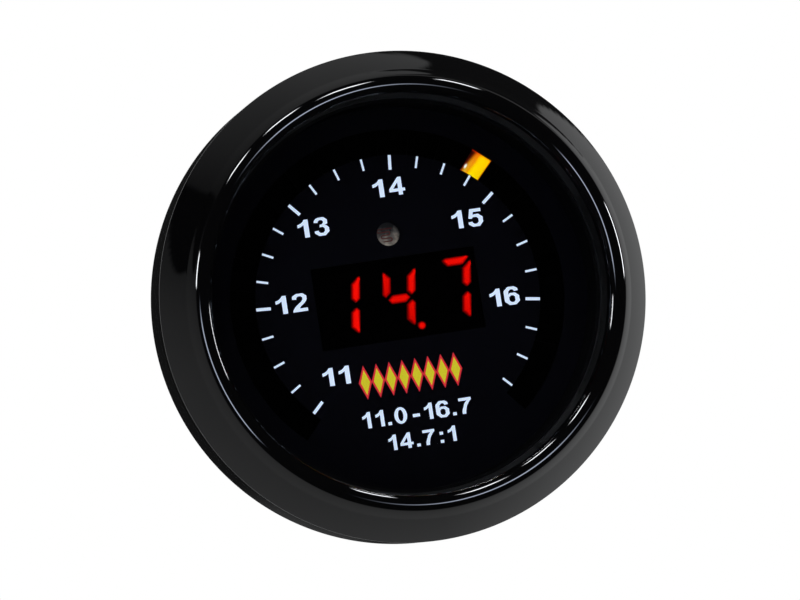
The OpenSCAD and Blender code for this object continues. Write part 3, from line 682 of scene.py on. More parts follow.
half_length = maths(thread_tree, "MULTIPLY", given["Length"], 0.5)
taper_start = maths(thread_tree, "SUBTRACT", half_length, given["Chamfer"])
tip_r = maths(thread_tree, "SUBTRACT", given["Radius"], given["Chamfer"])
from_middle = maths(thread_tree, "ABSOLUTE", spot["Z"])
taper = mapped(thread_tree, from_middle, taper_start, half_length, given["Radius"], tip_r)
ridge = maths(thread_tree, "MINIMUM", ridge, taper)
flat_spot = combine(thread_tree, X=spot["X"], Y=spot["Y"])
outward = add(thread_tree, "ShaderNodeVectorMath", {0: flat_spot}, operation="NORMALIZE").outputs[0]
pulled = add(thread_tree, "ShaderNodeVectorMath", {0: outward, "Scale": ridge}, operation="SCALE").outputs[0]
lift = combine(thread_tree, Z=spot["Z"])
moved = add(thread_tree, "ShaderNodeVectorMath", {0: pulled, 1: lift}, operation="ADD").outputs[0]
threaded = add(thread_tree, "GeometryNodeSetPosition", {"Geometry": tube, "Position": moved}).outputs[0]
far = combine(thread_tree, Y=given["Back"], Z=given["Up"])
placed = add(
    thread_tree,
    "GeometryNodeTransform",
    {"Geometry": threaded, "Translation": far, "Rotation": (-pi / 2, 0, 0)},
).outputs[0]
end_tree(thread_tree, placed, given)

# %% Both studs
STUD_FROM_Y, FLANGE_R, FLANGE_T = 23.0, 3.8, 1.5
stud_length = STUD_END_Y - STUD_FROM_Y
studs = []
for side in (-1, 1):
    stud = grow(
        "stud_thread_%d" % (side + 1),
        thread_tree,
        {
            "Length": mm(stud_length),
            "Steps": int(stud_length / THREAD_PITCH * STEPS_A_PITCH),
            "Back": mm(STUD_FROM_Y + stud_length / 2),
            "Up": mm(side * STUD_Z),
            "Material": zinc_steel,
        },
    )
    studs.append(stud)
    flange_from, edge = STUD_FROM_Y - FLANGE_T, 0.1
    rim_of_flange = [(FLANGE_R - edge, flange_from), (FLANGE_R, flange_from + edge)]
    rim_of_flange += [(FLANGE_R, STUD_FROM_Y - edge), (FLANGE_R - edge, STUD_FROM_Y)]
    flange_profile = [(0, flange_from)] + rim_of_flange + [(0, STUD_FROM_Y)]
    flange = turn("stud_flange", flange_profile, 48, (0, side * STUD_Z))
    studs.append(flange)
both = bmesh.new()
for stud in studs:
    both.from_mesh(stud.data)
    bpy.data.objects.remove(stud)
stud_mesh = bpy.data.meshes.new("threaded_studs")
both.to_mesh(stud_mesh)
both.free()
stud_pair = new_object("threaded_studs", stud_mesh)
stud_mesh.shade_smooth()
stud_mesh.set_sharp_from_angle(angle=radians(35))
finish_piece(stud_pair, zinc_steel, "housing", ["clamp_studs"])
print("studs from", STUD_FROM_Y, "to", STUD_END_Y, "mm")

# %% [markdown]
# ## Marks of the scale
#
# Twenty-four short bars are printed round the lamps, six of them longer and wider. They are
# all one bar, so Geometry Nodes puts it on a point for each mark. The points carry the mark's
# angle and whether it is a long one, and the tree scales and turns the bar by them.

# %% Angles of the marks
WHOLE_ANGLES = (224.6, 176.3, 131.5, 84.8, 39.4, -8.5)
TAIL_STEP, STEPS, MARKS, INK_T = 12.4, 4, 24, 0.02


def mark_angle(k):
    """Angle of a mark, in even steps between the uneven whole numbers of the scale."""
    whole, part = k // STEPS, k % STEPS / STEPS
    if whole < len(WHOLE_ANGLES) - 1:
        return WHOLE_ANGLES[whole] * (1 - part) + WHOLE_ANGLES[whole + 1] * part
    return WHOLE_ANGLES[whole] - TAIL_STEP * part * STEPS


mark_seed = bpy.data.meshes.new("mark_points")
mark_seed.from_pydata([(0, 0, 0)] * MARKS, [], [])
carry(mark_seed, "angle", [radians(mark_angle(k)) for k in range(MARKS)])
carry(mark_seed, "long_mark", [float(k % STEPS == 0) for k in range(MARKS)])
print("marks from", mark_angle(0), "to", round(mark_angle(MARKS - 1), 1), "degrees")

# %% Mark tree
mark_tree, given = start_tree(
    "scale_marks",
    {
        "Outer radius": (length_kind, mm(17.65)),
        "Short": (length_kind, mm(1.45)),
        "Long": (length_kind, mm(1.8)),
        "Narrow": (length_kind, mm(0.26)),
        "Wide": (length_kind, mm(0.37)),
        "Thickness": (length_kind, mm(INK_T)),
        "Front": (length_kind, mm(DIAL_Y)),
        "Material": (material_kind, None),
    },
)
angle = add(mark_tree, "GeometryNodeInputNamedAttribute", {"Name": "angle"}).outputs[0]
is_long = add(mark_tree, "GeometryNodeInputNamedAttribute", {"Name": "long_mark"}).outputs[0]
span = mapped(mark_tree, is_long, 0, 1, given["Short"], given["Long"])
broad = mapped(mark_tree, is_long, 0, 1, given["Narrow"], given["Wide"])
half_span = maths(mark_tree, "MULTIPLY", span, 0.5)
half_ink = maths(mark_tree, "MULTIPLY", given["Thickness"], 0.5)
middle_r = maths(mark_tree, "SUBTRACT", given["Outer radius"], half_span)
middle_y = maths(mark_tree, "SUBTRACT", given["Front"], half_ink)
across = maths(mark_tree, "MULTIPLY", maths(mark_tree, "COSINE", angle), middle_r)
upward = maths(mark_tree, "MULTIPLY", maths(mark_tree, "SINE", angle), middle_r)
spot = combine(mark_tree, X=across, Y=middle_y, Z=upward)
points = add(mark_tree, "GeometryNodeMeshToPoints", {0: given["Geometry"]}).outputs[0]
spread = add(mark_tree, "GeometryNodeSetPosition", {"Geometry": points, "Position": spot}).outputs[0]
tilt = combine(mark_tree, Y=maths(mark_tree, "MULTIPLY", angle, -1.0))
size = combine(mark_tree, X=span, Y=given["Thickness"], Z=broad)
bar = add(mark_tree, "GeometryNodeMeshCube", {"Size": (1, 1, 1)}).outputs["Mesh"]
bars = add(
    mark_tree,
    "GeometryNodeInstanceOnPoints",
    {"Points": spread, "Instance": bar, "Rotation": tilt, "Scale": size},
).outputs[0]
end_tree(mark_tree, bars, given)
marks = grow("scale_marks", mark_tree, {"Material": white_ink}, mark_seed)
finish_piece(marks, None, "housing")

# %% [markdown]
# ## Numbers
#
# The figures are a wide, heavy grotesque. They aren't an own design: their points were written
# from memory after the bold weight of a widely used commercial typeface, and then widened.
# Each is one or two loops on a grid where a figure is 719 high, with its curves rounded by a
# smooth spline between the points and its corners kept. A filled 2D curve turns the loops into
# a flat mesh, and each number stands on the dial by its centre.

# %% Outlines of the figures
def oval(centre, half_wide, half_high):
    """Points of an oval, one for every fifteen degrees."""
    angles = [radians(a) for a in range(0, 360, 15)]
    return [(centre[0] + half_wide * cos(a), centre[1] + half_high * sin(a)) for a in angles]


ZERO_AT = (274, 354)
GLYPHS = {
    "0": [oval(ZERO_AT, 236, 366), oval(ZERO_AT, 98, 252)],
    "1": [[
        (393, 0), (256, 0), (256, 517), (181, 450), (81, 414), (81, 539), (157, 570), (229, 631),
        (282, 719), (393, 719),
    ]],
    "2": [[
        (507, 128), (507, 0), (25, 0), (33, 73), (73, 138), (113, 203), (230, 311), (324, 399),
        (345, 430), (375, 474), (375, 516), (375, 563), (350, 588), (324, 613), (280, 613), (236, 613),
        (210, 587), (184, 560), (180, 499), (43, 512), (55, 628), (121, 679), (187, 719), (283, 719),
        (392, 719), (452, 664), (512, 607), (512, 527), (512, 480), (495, 439), (478, 398), (440, 351),
        (417, 321), (358, 267), (296, 210), (282, 194), (255, 128),
    ]],
    "3": [[
        (38, 190), (171, 206), (177, 155), (205, 128), (233, 101), (273, 101), (316, 101), (346, 134),
        (375, 167), (375, 222), (375, 274), (347, 305), (319, 335), (278, 335), (252, 335), (215, 325),
        (230, 437), (287, 436), (316, 462), (346, 488), (346, 532), (346, 569), (324, 591), (302, 613),
        (266, 613), (230, 613), (204, 588), (179, 563), (173, 515), (46, 537), (59, 603), (86, 642),
        (113, 682), (161, 704), (209, 719), (268, 719), (370, 719), (431, 662), (482, 609), (482, 542),
        (482, 448), (379, 392), (440, 379), (477, 333), (514, 287), (514, 222), (514, 128), (445, 61),
        (376, -12), (274, -12), (177, -12), (113, 44), (49, 99),
    ]],
    "4": [
        [
            (311, 0), (311, 144), (18, 144), (18, 264), (329, 719), (444, 719), (444, 265), (533, 265),
            (533, 144), (444, 144), (444, 0),
        ],
        [(311, 265), (311, 510), (146, 265)],
    ],
    "5": [[
        (44, 184), (181, 198), (187, 152), (216, 125), (244, 98), (281, 98), (324, 98), (354, 133),
        (383, 168), (383, 238), (383, 304), (354, 337), (324, 370), (277, 370), (218, 370), (171, 318),
        (60, 334), (130, 707), (494, 707), (494, 578), (235, 578), (213, 457), (259, 480), (307, 480),
        (399, 480), (462, 413), (526, 347), (526, 240), (526, 152), (475, 82), (405, -12), (281, -12),
        (182, -12), (119, 41), (57, 94),
    ]],
    "6": [
        [
            (513, 541), (380, 526), (375, 567), (355, 587), (334, 607), (301, 607), (257, 607),
            (227, 567), (197, 528), (189, 404), (241, 465), (318, 465), (405, 465), (467, 399),
            (530, 332), (530, 227), (530, 116), (464, 48), (399, -12), (296, -12), (186, -12),
            (115, 74), (43, 160), (43, 355), (43, 555), (117, 644), (191, 719), (309, 719), (392, 719),
            (447, 680), (501, 631),
        ],
        [
            (201, 238), (201, 170), (232, 133), (263, 96), (303, 96), (342, 96), (368, 126),
            (393, 157), (393, 226), (393, 298), (366, 331), (338, 364), (295, 364), (256, 364),
            (229, 334), (201, 304),
        ],
    ],
    "7": [[
        (42, 579), (42, 707), (513, 707), (513, 607), (455, 540), (395, 443), (335, 336), (304, 216),
        (276, 95), (273, 0), (137, 0), (144, 150), (201, 306), (258, 462), (353, 579),
    ]],
    ".": [[(72, 0), (72, 137), (209, 137), (209, 0)]],
    ":": [[(92, 0), (92, 137), (229, 137), (229, 0)], [(92, 380), (92, 517), (229, 517), (229, 380)]],
    "-": [[(56, 191), (56, 328), (320, 328), (320, 191)]],
}
CORNER, LONG_SIDE = 50, 170


def smooth_loop(loop):
    """Rounds a closed loop by a spline, except at its corners and along its long straight sides."""
    count, result = len(loop), []
    headings = [atan2(q[1] - p[1], q[0] - p[0]) for p, q in zip(loop, loop[1:] + loop[:1])]
    bends = [abs((degrees(headings[i] - headings[i - 1]) + 180) % 360 - 180) for i in range(count)]
    for i in range(count):
        p1, p2 = Vector(loop[i]), Vector(loop[(i + 1) % count])
        corner_1, corner_2 = bends[i] > CORNER, bends[(i + 1) % count] > CORNER
        if corner_1 and corner_2 or (p2 - p1).length > LONG_SIDE:
            result.append(tuple(p1))
            continue
        p0 = 2 * p1 - p2 if corner_1 else Vector(loop[i - 1])
        p3 = 2 * p2 - p1 if corner_2 else Vector(loop[(i + 2) % count])
        for t in (0, 0.25, 0.5, 0.75):
            step = (p2 - p0) * t + (2 * p0 - 5 * p1 + 4 * p2 - p3) * t**2 + (3 * p1 - p0 - 3 * p2 + p3) * t**3
            result.append(tuple(p1 + step / 2))
    return result


ROUNDED = {
    sign: loops if sign in ".:-4" else [smooth_loop(loop) for loop in loops]
    for sign, loops in GLYPHS.items()
}
print("figures drawn:", "".join(sorted(ROUNDED)))

# %% Setting a line of figures
FIGURE_H = 719.0


def fill_loops(name, loops, thickness):
    """Fills loops drawn in mm, across and up, and gives them a thickness towards the face."""
    curve = bpy.data.curves.new(name, "CURVE")
    curve.dimensions, curve.fill_mode, curve.extrude = "2D", "BOTH", thickness / 2
    for loop in loops:
        spline = curve.splines.new("POLY")
        spline.points.add(len(loop) - 1)
        for point, (x, z) in zip(spline.points, loop):
            point.co = (x, z, 0, 1)
        spline.use_cyclic_u = True
    source = new_object(name + "_curve", curve)
    depsgraph = bpy.context.evaluated_depsgraph_get()
    mesh = bpy.data.meshes.new_from_object(source.evaluated_get(depsgraph))
    bpy.data.objects.remove(source)
    deep = mm(DIAL_Y - thickness / 2)
    mesh.transform(Matrix(((MM, 0, 0, 0), (0, 0, MM, deep), (0, MM, 0, 0), (0, 0, 0, 1))))
    shape = bmesh.new()
    shape.from_mesh(mesh)
    bmesh.ops.remove_doubles(shape, verts=shape.verts, dist=mm(0.0005))
    bmesh.ops.recalc_face_normals(shape, faces=shape.faces)
    shape.to_mesh(mesh)
    shape.free()
    mesh.name = name
    return new_object(name, mesh)


def line_of(text, centre, height, wide, gaps, one_wide=None):
    """Loops in mm for a line of figures, each a gap apart, centred on a place of the dial."""
    scale, pen, loops = height / FIGURE_H, 0.0, []
    for i, sign in enumerate(text):
        stretch = scale * (one_wide if sign == "1" and one_wide else wide)
        left = min(x for loop in GLYPHS[sign] for x, _ in loop)
        reach_x = max(x for loop in GLYPHS[sign] for x, _ in loop)
        loops += [[((x - left) * stretch + pen, z * scale) for x, z in loop] for loop in ROUNDED[sign]]
        pen += (reach_x - left) * stretch
        if i < len(text) - 1:
            pen += gaps.get(text[i + 1], gaps[""])
    return [[(x - pen / 2 + centre[0], z - height / 2 + centre[1]) for x, z in loop] for loop in loops]


# %% The six numbers and two lines of plain figures
NUMBER_H, NUMBER_WIDE, ONE_WIDE, NUMBER_GAPS = 2.2, 1.25, 1.42, {"": 0.66, "6": 0.45}
NUMBERS = {
    "11": (-9.1, -8.3), "12": (-13.2, 1.25), "13": (-9.1, 10.1),
    "14": (0.92, 13.67), "15": (10.0, 8.5), "16": (13.1, -1.7),
}
number_loops = []
for text, centre in NUMBERS.items():
    number_loops += line_of(text, centre, NUMBER_H, NUMBER_WIDE, NUMBER_GAPS, ONE_WIDE)
numbers = fill_loops("scale_numbers", number_loops, INK_T)
finish_piece(numbers, white_ink, "housing")

small_print = line_of("11.0-16.7", (0.1, -14.2), 2.0, 1.2, {"": 0.42, "-": 0.7, "1": 0.6})
small_print += line_of("14.7:1", (0.25, -17.35), 1.9, 1.2, {"": 0.42, ":": 0.6, "1": 0.6})
small_figures = fill_loops("small_figures", small_print, INK_T)
finish_piece(small_figures, white_ink, "housing")

# %% [markdown]
# ## A plain band under the readout
#
# Where such gauges are printed in colour under the readout, this one has a row of equal upright
# lozenges, yellow with a red outline. Geometry Nodes set one lozenge along a line. The red row
# is a little larger and lies under the yellow one, as two inks do.

# %% Lozenge tree
lozenge_tree, given = start_tree(
    "lozenge_row",
    {
        "Count": (count_kind, 8),
        "Pitch": (length_kind, mm(1.62)),
        "Width": (length_kind, mm(1.0)),
        "Height": (length_kind, mm(3.2)),
        "Thickness": (length_kind, mm(INK_T)),
        "Front": (length_kind, mm(DIAL_Y)),
        "Up": (length_kind, mm(-9.6)),
        "Material": (material_kind, None),
    },
)
step = combine(lozenge_tree, X=given["Pitch"])
less = maths(lozenge_tree, "SUBTRACT", given["Count"], 1.0)
full = maths(lozenge_tree, "MULTIPLY", less, given["Pitch"])
start_x = maths(lozenge_tree, "MULTIPLY", full, -0.5)
half_ink = maths(lozenge_tree, "MULTIPLY", given["Thickness"], 0.5)
deep = maths(lozenge_tree, "SUBTRACT", given["Front"], half_ink)
start_at = combine(lozenge_tree, X=start_x, Y=deep, Z=given["Up"])
row = add(
    lozenge_tree,
    "GeometryNodeMeshLine",
    {"Count": given["Count"], "Start Location": start_at, "Offset": step},
    mode="OFFSET",
).outputs[0]
prism = add(lozenge_tree, "GeometryNodeMeshCylinder", {"Vertices": 4, "Radius": 0.5, "Depth": 1.0})
size = combine(lozenge_tree, X=given["Width"], Y=given["Height"], Z=given["Thickness"])
prism = prism.outputs["Mesh"]
shaped = add(lozenge_tree, "GeometryNodeTransform", {"Geometry": prism, "Scale": size}).outputs[0]
quarter = {"Geometry": shaped, "Rotation": (pi / 2, 0, 0)}
upright = add(lozenge_tree, "GeometryNodeTransform", quarter).outputs[0]
lozenges = add(lozenge_tree, "GeometryNodeInstanceOnPoints", {"Points": row, "Instance": upright}).outputs[0]
end_tree(lozenge_tree, lozenges, given)

# %% Red and yellow rows
red_row = grow(
    "lozenge_outlines",
    lozenge_tree,
    {"Width": mm(1.66), "Height": mm(4.2), "Thickness": mm(INK_T / 2), "Material": red_ink},
)
yellow_row = grow("lozenges", lozenge_tree, {"Width": mm(1.15), "Height": mm(3.1), "Material": yellow_ink})
for piece in (red_row, yellow_row):
    finish_piece(piece, None, "housing")

# %% [markdown]
# ## The lit strokes of the readout
#
# A seven-stroke figure leans a little, and its strokes are mitred where they meet. The CAD
# model has the strokes as prisms. Each lit one is made again with an inner outline on its
# front, so that the glow attribute can run from its edge, 0, to its middle, 1.

# %% Stroke outlines
DIGIT_PITCH, DIGIT_RIGHT, DIGIT_LEAN = 7.0, 0.25, 8.4
STROKE_DEPTH, DOT_R, DOT_AT, ROUNDING = 0.6, 0.5, (2.85, -3.67), 0.17
LIT_STROKES, LIT_DOT = [[1, 2], [1, 2, 5, 6], [0, 1, 2]], 1
end_stroke = [(-1.54, 3.84), (-1.12, 4.07), (1.56, 4.07), (1.84, 3.9), (1.1, 3.04), (-0.84, 3.04)]
side_stroke = [(2.1, 3.6), (2.1, 0.72), (1.64, 0.27), (1.04, 0.83), (1.04, 2.62)]
middle_stroke = [(1.46, 0), (0.94, 0.54), (-0.86, 0.54), (-1.4, 0), (-0.9, -0.54), (0.92, -0.54)]
STROKES = [
    (end_stroke, 1, 1),
    (side_stroke, 1, 1),
    (side_stroke, 1, -1),
    (end_stroke, 1, -1),
    (side_stroke, -1, -1),
    (side_stroke, -1, 1),
    (middle_stroke, 1, 1),
]
# How bright the middle of each lit stroke is at its lower and at its upper end.
STROKE_GLOW = [
    [(1.0, 1.0), (1.0, 1.0)],
    [(0.82, 0.9), (0.42, 0.86), (0.5, 0.78), (0.78, 0.84)],
    [(0.84, 0.9), (0.8, 0.78), (0.6, 0.88)],
]
DOT_GLOW, STROKE_INSET, DOT_INSET = (0.95, 0.95), 0.34, 0.3
lean = tan(radians(DIGIT_LEAN))


def rounded(points, radius, steps=4):
    """A loop with every corner rounded by a small arc, or by less where a side is short."""
    result, count = [], len(points)
    for i in range(count):
        before, here, after = Vector(points[i - 1]), Vector(points[i]), Vector(points[(i + 1) % count])
        a, b = (before - here).normalized(), (after - here).normalized()
        reach = min(radius / tan(a.angle(b) / 2), 0.45 * (before - here).length, 0.45 * (after - here).length)
        for k in range(steps + 1):
            s = k / steps
            result.append(tuple(here + a * reach * (1 - s) ** 2 + b * reach * s**2))
    return result


def placed_loop(points, flip_x, flip_z, digit):
    """A stroke of a figure, rounded, flipped, leaned and set in place, running counter-clockwise."""
    shift = (digit - 1) * DIGIT_PITCH + DIGIT_RIGHT
    points = rounded(points, ROUNDING)
    loop = [(x * flip_x + z * flip_z * lean + shift, z * flip_z) for x, z in points]
    area = sum(a[0] * b[1] - b[0] * a[1] for a, b in zip(loop, loop[1:] + loop[:1]))
    return loop if area > 0 else loop[::-1]


lit_loops = [placed_loop(*STROKES[i], digit) for digit in range(3) for i in LIT_STROKES[digit]]
dot_shift = (DOT_AT[0] + DOT_AT[1] * lean + (LIT_DOT - 1) * DIGIT_PITCH + DIGIT_RIGHT, DOT_AT[1])
dot_loop = oval(dot_shift, DOT_R, DOT_R)
print("lit strokes:", len(lit_loops), "and a dot at", [round(x, 2) for x in dot_shift])


# %% Prisms with a glow
def inset(loop, distance):
    """Moves every side of a counter-clockwise loop inwards, and returns the new corners."""
    result, count = [], len(loop)
    for i in range(count):
        before, here, after = Vector(loop[i - 1]), Vector(loop[i]), Vector(loop[(i + 1) % count])
        a, b = (here - before).normalized(), (after - here).normalized()
        normal_a, normal_b = Vector((-a.y, a.x)), Vector((-b.y, b.x))
        bisector = (normal_a + normal_b).normalized()
        result.append(tuple(here + bisector * distance / max(0.3, bisector.dot(normal_a))))
    return result


points, faces, glow_values = [], [], []
levels = [level for digit in STROKE_GLOW for level in digit] + [DOT_GLOW]
depths = [STROKE_INSET] * len(lit_loops) + [DOT_INSET]
for loop, depth, (low_glow, high_glow) in zip(lit_loops + [dot_loop], depths, levels):
    start, count = len(points), len(loop)
    bottom, top = min(z for _, z in loop), max(z for _, z in loop)
    rings = [(loop, TIP_Y + STROKE_DEPTH, 0.0), (loop, TIP_Y, 0.0)]
    rings += [(inset(loop, depth * part), TIP_Y, part) for part in (0.5, 1.0)]
    for ring, y, part in rings:
        points += [(x, y, z) for x, z in ring]
        glow_values += [
            part * (low_glow + (high_glow - low_glow) * (z - bottom) / (top - bottom)) for _, z in ring
        ]
    for i in range(count):
        j = (i + 1) % count
        for layer in range(len(rings) - 1):
            low_ring, high_ring = start + layer * count, start + (layer + 1) * count
            faces.append((low_ring + i, low_ring + j, high_ring + j, high_ring + i))
    faces.append(tuple(range(start, start + count))[::-1])
    faces.append(tuple(range(start + (len(rings) - 1) * count, start + len(rings) * count)))
lit_strokes = new_mesh("lit_strokes_glow", points, faces)
carry(lit_strokes.data, "glow", glow_values)
finish_piece(lit_strokes, stroke_light, "housing", ["strokes_lit"])

# %% [markdown]
# ## The light sensor's track
#
# A photocell is a pale disc with a dark track that winds across it. The track is a thin strip
# along a path of short bends, laid on the CAD disc.

# %% Sensor track
SENSOR_Z, TRACK_W, TRACK_STEP, TRACK_TOP, BEND_STEPS = 8.0, 0.15, 0.39, 0.72, 8
TRACK_Y, TRACK_T = TIP_Y - 0.01, 0.02
ROW_ENDS = [(-1.02, 0.66), (-1.02, 0.16), (-0.56, 0.16), (-0.56, 0.34), (-0.6, 0.34)]
path = []
for row_index, (left_end, right_end) in enumerate(ROW_ENDS):
    z = SENSOR_Z + TRACK_TOP - row_index * TRACK_STEP
    to_left = row_index % 2 == 0
    path += [(right_end, z), (left_end, z)] if to_left else [(left_end, z), (right_end, z)]
    if row_index < len(ROW_ENDS) - 1:
        way = -1 if to_left else 1
        bend = [pi / 2 - pi * k / BEND_STEPS for k in range(1, BEND_STEPS)]
        half = TRACK_STEP / 2
        path += [(path[-1][0] + way * half * cos(a), z - half + half * sin(a)) for a in bend]
points, faces = [], []
for i, (x, z) in enumerate(path):
    before, after = Vector(path[max(0, i - 1)]), Vector(path[min(len(path) - 1, i + 1)])
    along = (after - before).normalized()
    side_x, side_z = -along.y * TRACK_W / 2, along.x * TRACK_W / 2
    points += [(x + side_x, TRACK_Y, z + side_z), (x - side_x, TRACK_Y, z - side_z)]
for i in range(len(path) - 1):
    faces.append((2 * i, 2 * i + 1, 2 * i + 3, 2 * i + 2))
track_red = grained("fired_sensor_film", "#500E08", "#68180C", 0.2, 0.6, 0.1)
track = new_mesh("sensor_track", points, faces)
thicken(track, TRACK_T)
finish_piece(track, track_red, "housing")

# %% [markdown]
# ## The lit lamp's light on the filter
#
# The lit lamp fills its chamber with light, and the back of the smoked filter shows it: yellow
# where the lamp's face is, orange on the chamber's slanted left wall, dark red where the wall
# shades the light, and a small pale painted highlight. A thin film on the filter glows with
# this painted light and shade; it carries the colours of its points, worked out from two
# shares: across from the right side, and outward from the gauge's middle.

# %% Glow film
FILM_IN, FILM_OUT = ((-1.55, -1.24), (-1.5, 1.28)), ((1.52, -1.48), (1.55, 1.25))
ACROSS = [
    (0.0, "#A03000", "#C03800"), (0.06, "#D8C000", "#FFC000"), (0.2, "#E4C800", "#FFC000"),
    (0.5, "#F2D600", "#FCC800"), (0.6, "#E8BC00", "#F8B000"), (0.68, "#DC9000", "#EC7C00"),
    (0.82, "#CCA820", "#E06400"), (0.9, "#B88C10", "#A83400"), (0.98, "#701C00", "#541000"),
    (1.06, "#260400", "#280400"), (1.22, "#000000", "#0C0000"),
]
# The pale spot is a painted highlight: where it lies, its half size across and outward, and its strength.
SLANT, HIGHLIGHT_AT, HIGHLIGHT_HALF, HIGHLIGHT_GAIN = 0.16, (0.88, 0.26), (0.07, 0.13), 1.6
EDGE_WIDTH, EDGE_RED = 0.07, 0.75


def blend(a, b, share):
    """A mixture of two linear colours."""
    return [x + (y - x) * share for x, y in zip(a[:3], b[:3])]


def film_colour(across, outward):
    """The light on the film at a place between its four corners."""
    place_on = across / (1 - SLANT * outward)
    for (x0, *low), (x1, *high) in zip(ACROSS, ACROSS[1:]):
        if x0 <= place_on <= x1:
            break
    share = (min(place_on, x1) - x0) / (x1 - x0)
    inner, outer = (blend(linear(a), linear(b), share) for a, b in zip(low, high))
    colour = blend(inner, outer, outward)
    # painted highlight: the colour turns pale round one spot
    from_highlight = ((across - HIGHLIGHT_AT[0]) / HIGHLIGHT_HALF[0], (outward - HIGHLIGHT_AT[1]) / HIGHLIGHT_HALF[1])
    spot = max(0.0, 1 - hypot(*from_highlight))
    colour = blend(colour, linear("#E8F0E0"), min(1.0, HIGHLIGHT_GAIN * spot))
    edge = max(0.0, 1 - min(outward, 1 - outward) / EDGE_WIDTH)
    return blend(colour, linear("#B82000"), EDGE_RED * edge)


FILM_N, FILM_T = 32, 0.01
points, tints = [], []
for j in range(FILM_N + 1):
    for i in range(FILM_N + 1):
        across, outward = i / FILM_N, j / FILM_N
        inner, outer = (Vector(side[0]).lerp(Vector(side[1]), across) for side in (FILM_IN, FILM_OUT))
        spot = inner.lerp(outer, outward) + Vector((LAMP_RING_R, 0))
        a = radians(LIT_ANGLE)
        x, z = spot.x * cos(a) - spot.y * sin(a), spot.x * sin(a) + spot.y * cos(a)
        points.append((x, FILTER_BACK_Y, z))
        tints += film_colour(across, outward)
faces = [(a, d, c, b) for a, b, c, d in grid_faces(FILM_N, FILM_N)]
film = new_mesh("lit_lamp_glow", points, faces)
carry(film.data, "tint", tints)
thicken(film, FILM_T)
film.visible_glossy = False
finish_piece(film, glow_film, "housing")

# %% [markdown]
# ## The studio
#
# Gloss black plastic shows nothing of itself: it shows the room. So the room is built from
# patches of a sphere round the gauge, seen only in reflections. Each patch is given by two
# angles about the line from the gauge to the camera: how far round the picture it lies, and how
# far away from that line. A dark shell hides the white world in front of the gauge, and the
# small lamps and the two long bars make the streaks on the bezel's crest.

# %% Patches of a sphere
HUB, SHELL_R, LAMP_R = mm(0, -12, 0), 0.62, 0.58


def towards(around, polar):
    """A direction: around counter-clockwise from the picture's right, polar from the camera's line."""
    a, p = radians(around), radians(polar)
    return sin(p) * (cos(a) * right + sin(a) * up) - cos(p) * forward


def hang(name, corners, divisions, shares, colours):
    """Hangs a glowing sheet in the room, seen by reflections alone."""
    sheet = new_mesh(name, corners, grid_faces(*divisions))
    carry(sheet.data, "glow", shares)
    carry(sheet.data, "tint", [c for colour in colours for c in colour])
    sheet.data.materials.append(studio_glow)
    sheet.visible_camera = sheet.visible_diffuse = False
    sheet.visible_shadow = sheet.visible_transmission = False
    print("hung", name)


def studio_patch(name, around, polar, light, radius, soft=0.0, divisions=(24, 12)):
    """A patch of glowing sphere; light is a colour or a function of both angles, in linear values."""
    across_n, polar_n = divisions
    corners, shares, colours = [], [], []
    for j in range(polar_n + 1):
        for i in range(across_n + 1):
            a = around[0] + (around[1] - around[0]) * i / across_n
            p = polar[0] + (polar[1] - polar[0]) * j / polar_n
            corners.append((HUB + towards(a, p) * radius) / MM)
            edge = min(a - around[0], around[1] - a) * max(0.05, sin(radians(p)))
            edge = min(edge, p - polar[0], polar[1] - p)
            shares.append(ease(edge, 0, soft) if soft else 1.0)
            colours.append(light(a, p) if callable(light) else light)
    hang(name, corners, divisions, shares, colours)


studio_glow, tree, out = bare_material("studio_glow")
tint = add(tree, "ShaderNodeAttribute", attribute_name="tint").outputs["Color"]
fade = add(tree, "ShaderNodeAttribute", attribute_name="glow").outputs["Fac"]
shine = add(tree, "ShaderNodeEmission", {"Color": tint, "Strength": 1.0})
clear = add(tree, "ShaderNodeBsdfTransparent")
blended = add(tree, "ShaderNodeMixShader", {0: fade, 1: clear.outputs[0], 2: shine.outputs[0]})
tree.links.new(blended.outputs[0], out.inputs["Surface"])

# %% [markdown]
# ## What the cone reflects
#
# The cone leans the same way all round, so each part of it reflects one direction. A table of
# strengths by the angle round the picture, read with straight lines between its rows, makes the
# grey bands of the cone.

# %% The shell with its grey band
DARK, SIDE_DARK, BACK_LIGHT, GAP_DARK = 0.006, 0.01, 0.75, 0.018
# The cone looks this far from the camera's line, more or less by the angle round the picture.
CONE_POLAR, CONE_SWING, CONE_TURN = 114.4, 20.7, 22
CONE_LIGHT = [
    (0, 0.53), (40, 0.51), (52, 0.45), (80, 0.31), (88, 0.3), (108, 0.255), (120, 0.19), (135, 0.13),
    (148, 0.06), (152, 0.04), (172, 0.13), (177, 0.17), (185, 0.22), (200, 0.28), (225, 0.32), (270, 0.345),
    (285, 0.34), (300, 0.42), (315, 0.51), (330, 0.54), (360, 0.53),
]


def read_table(table, x):
    """The value of a table at x, with straight lines between its rows."""
    for (x0, y0), (x1, y1) in zip(table, table[1:]):
        if x0 <= x <= x1:
            return y0 + (y1 - y0) * (x - x0) / (x1 - x0)
    return table[-1][1]


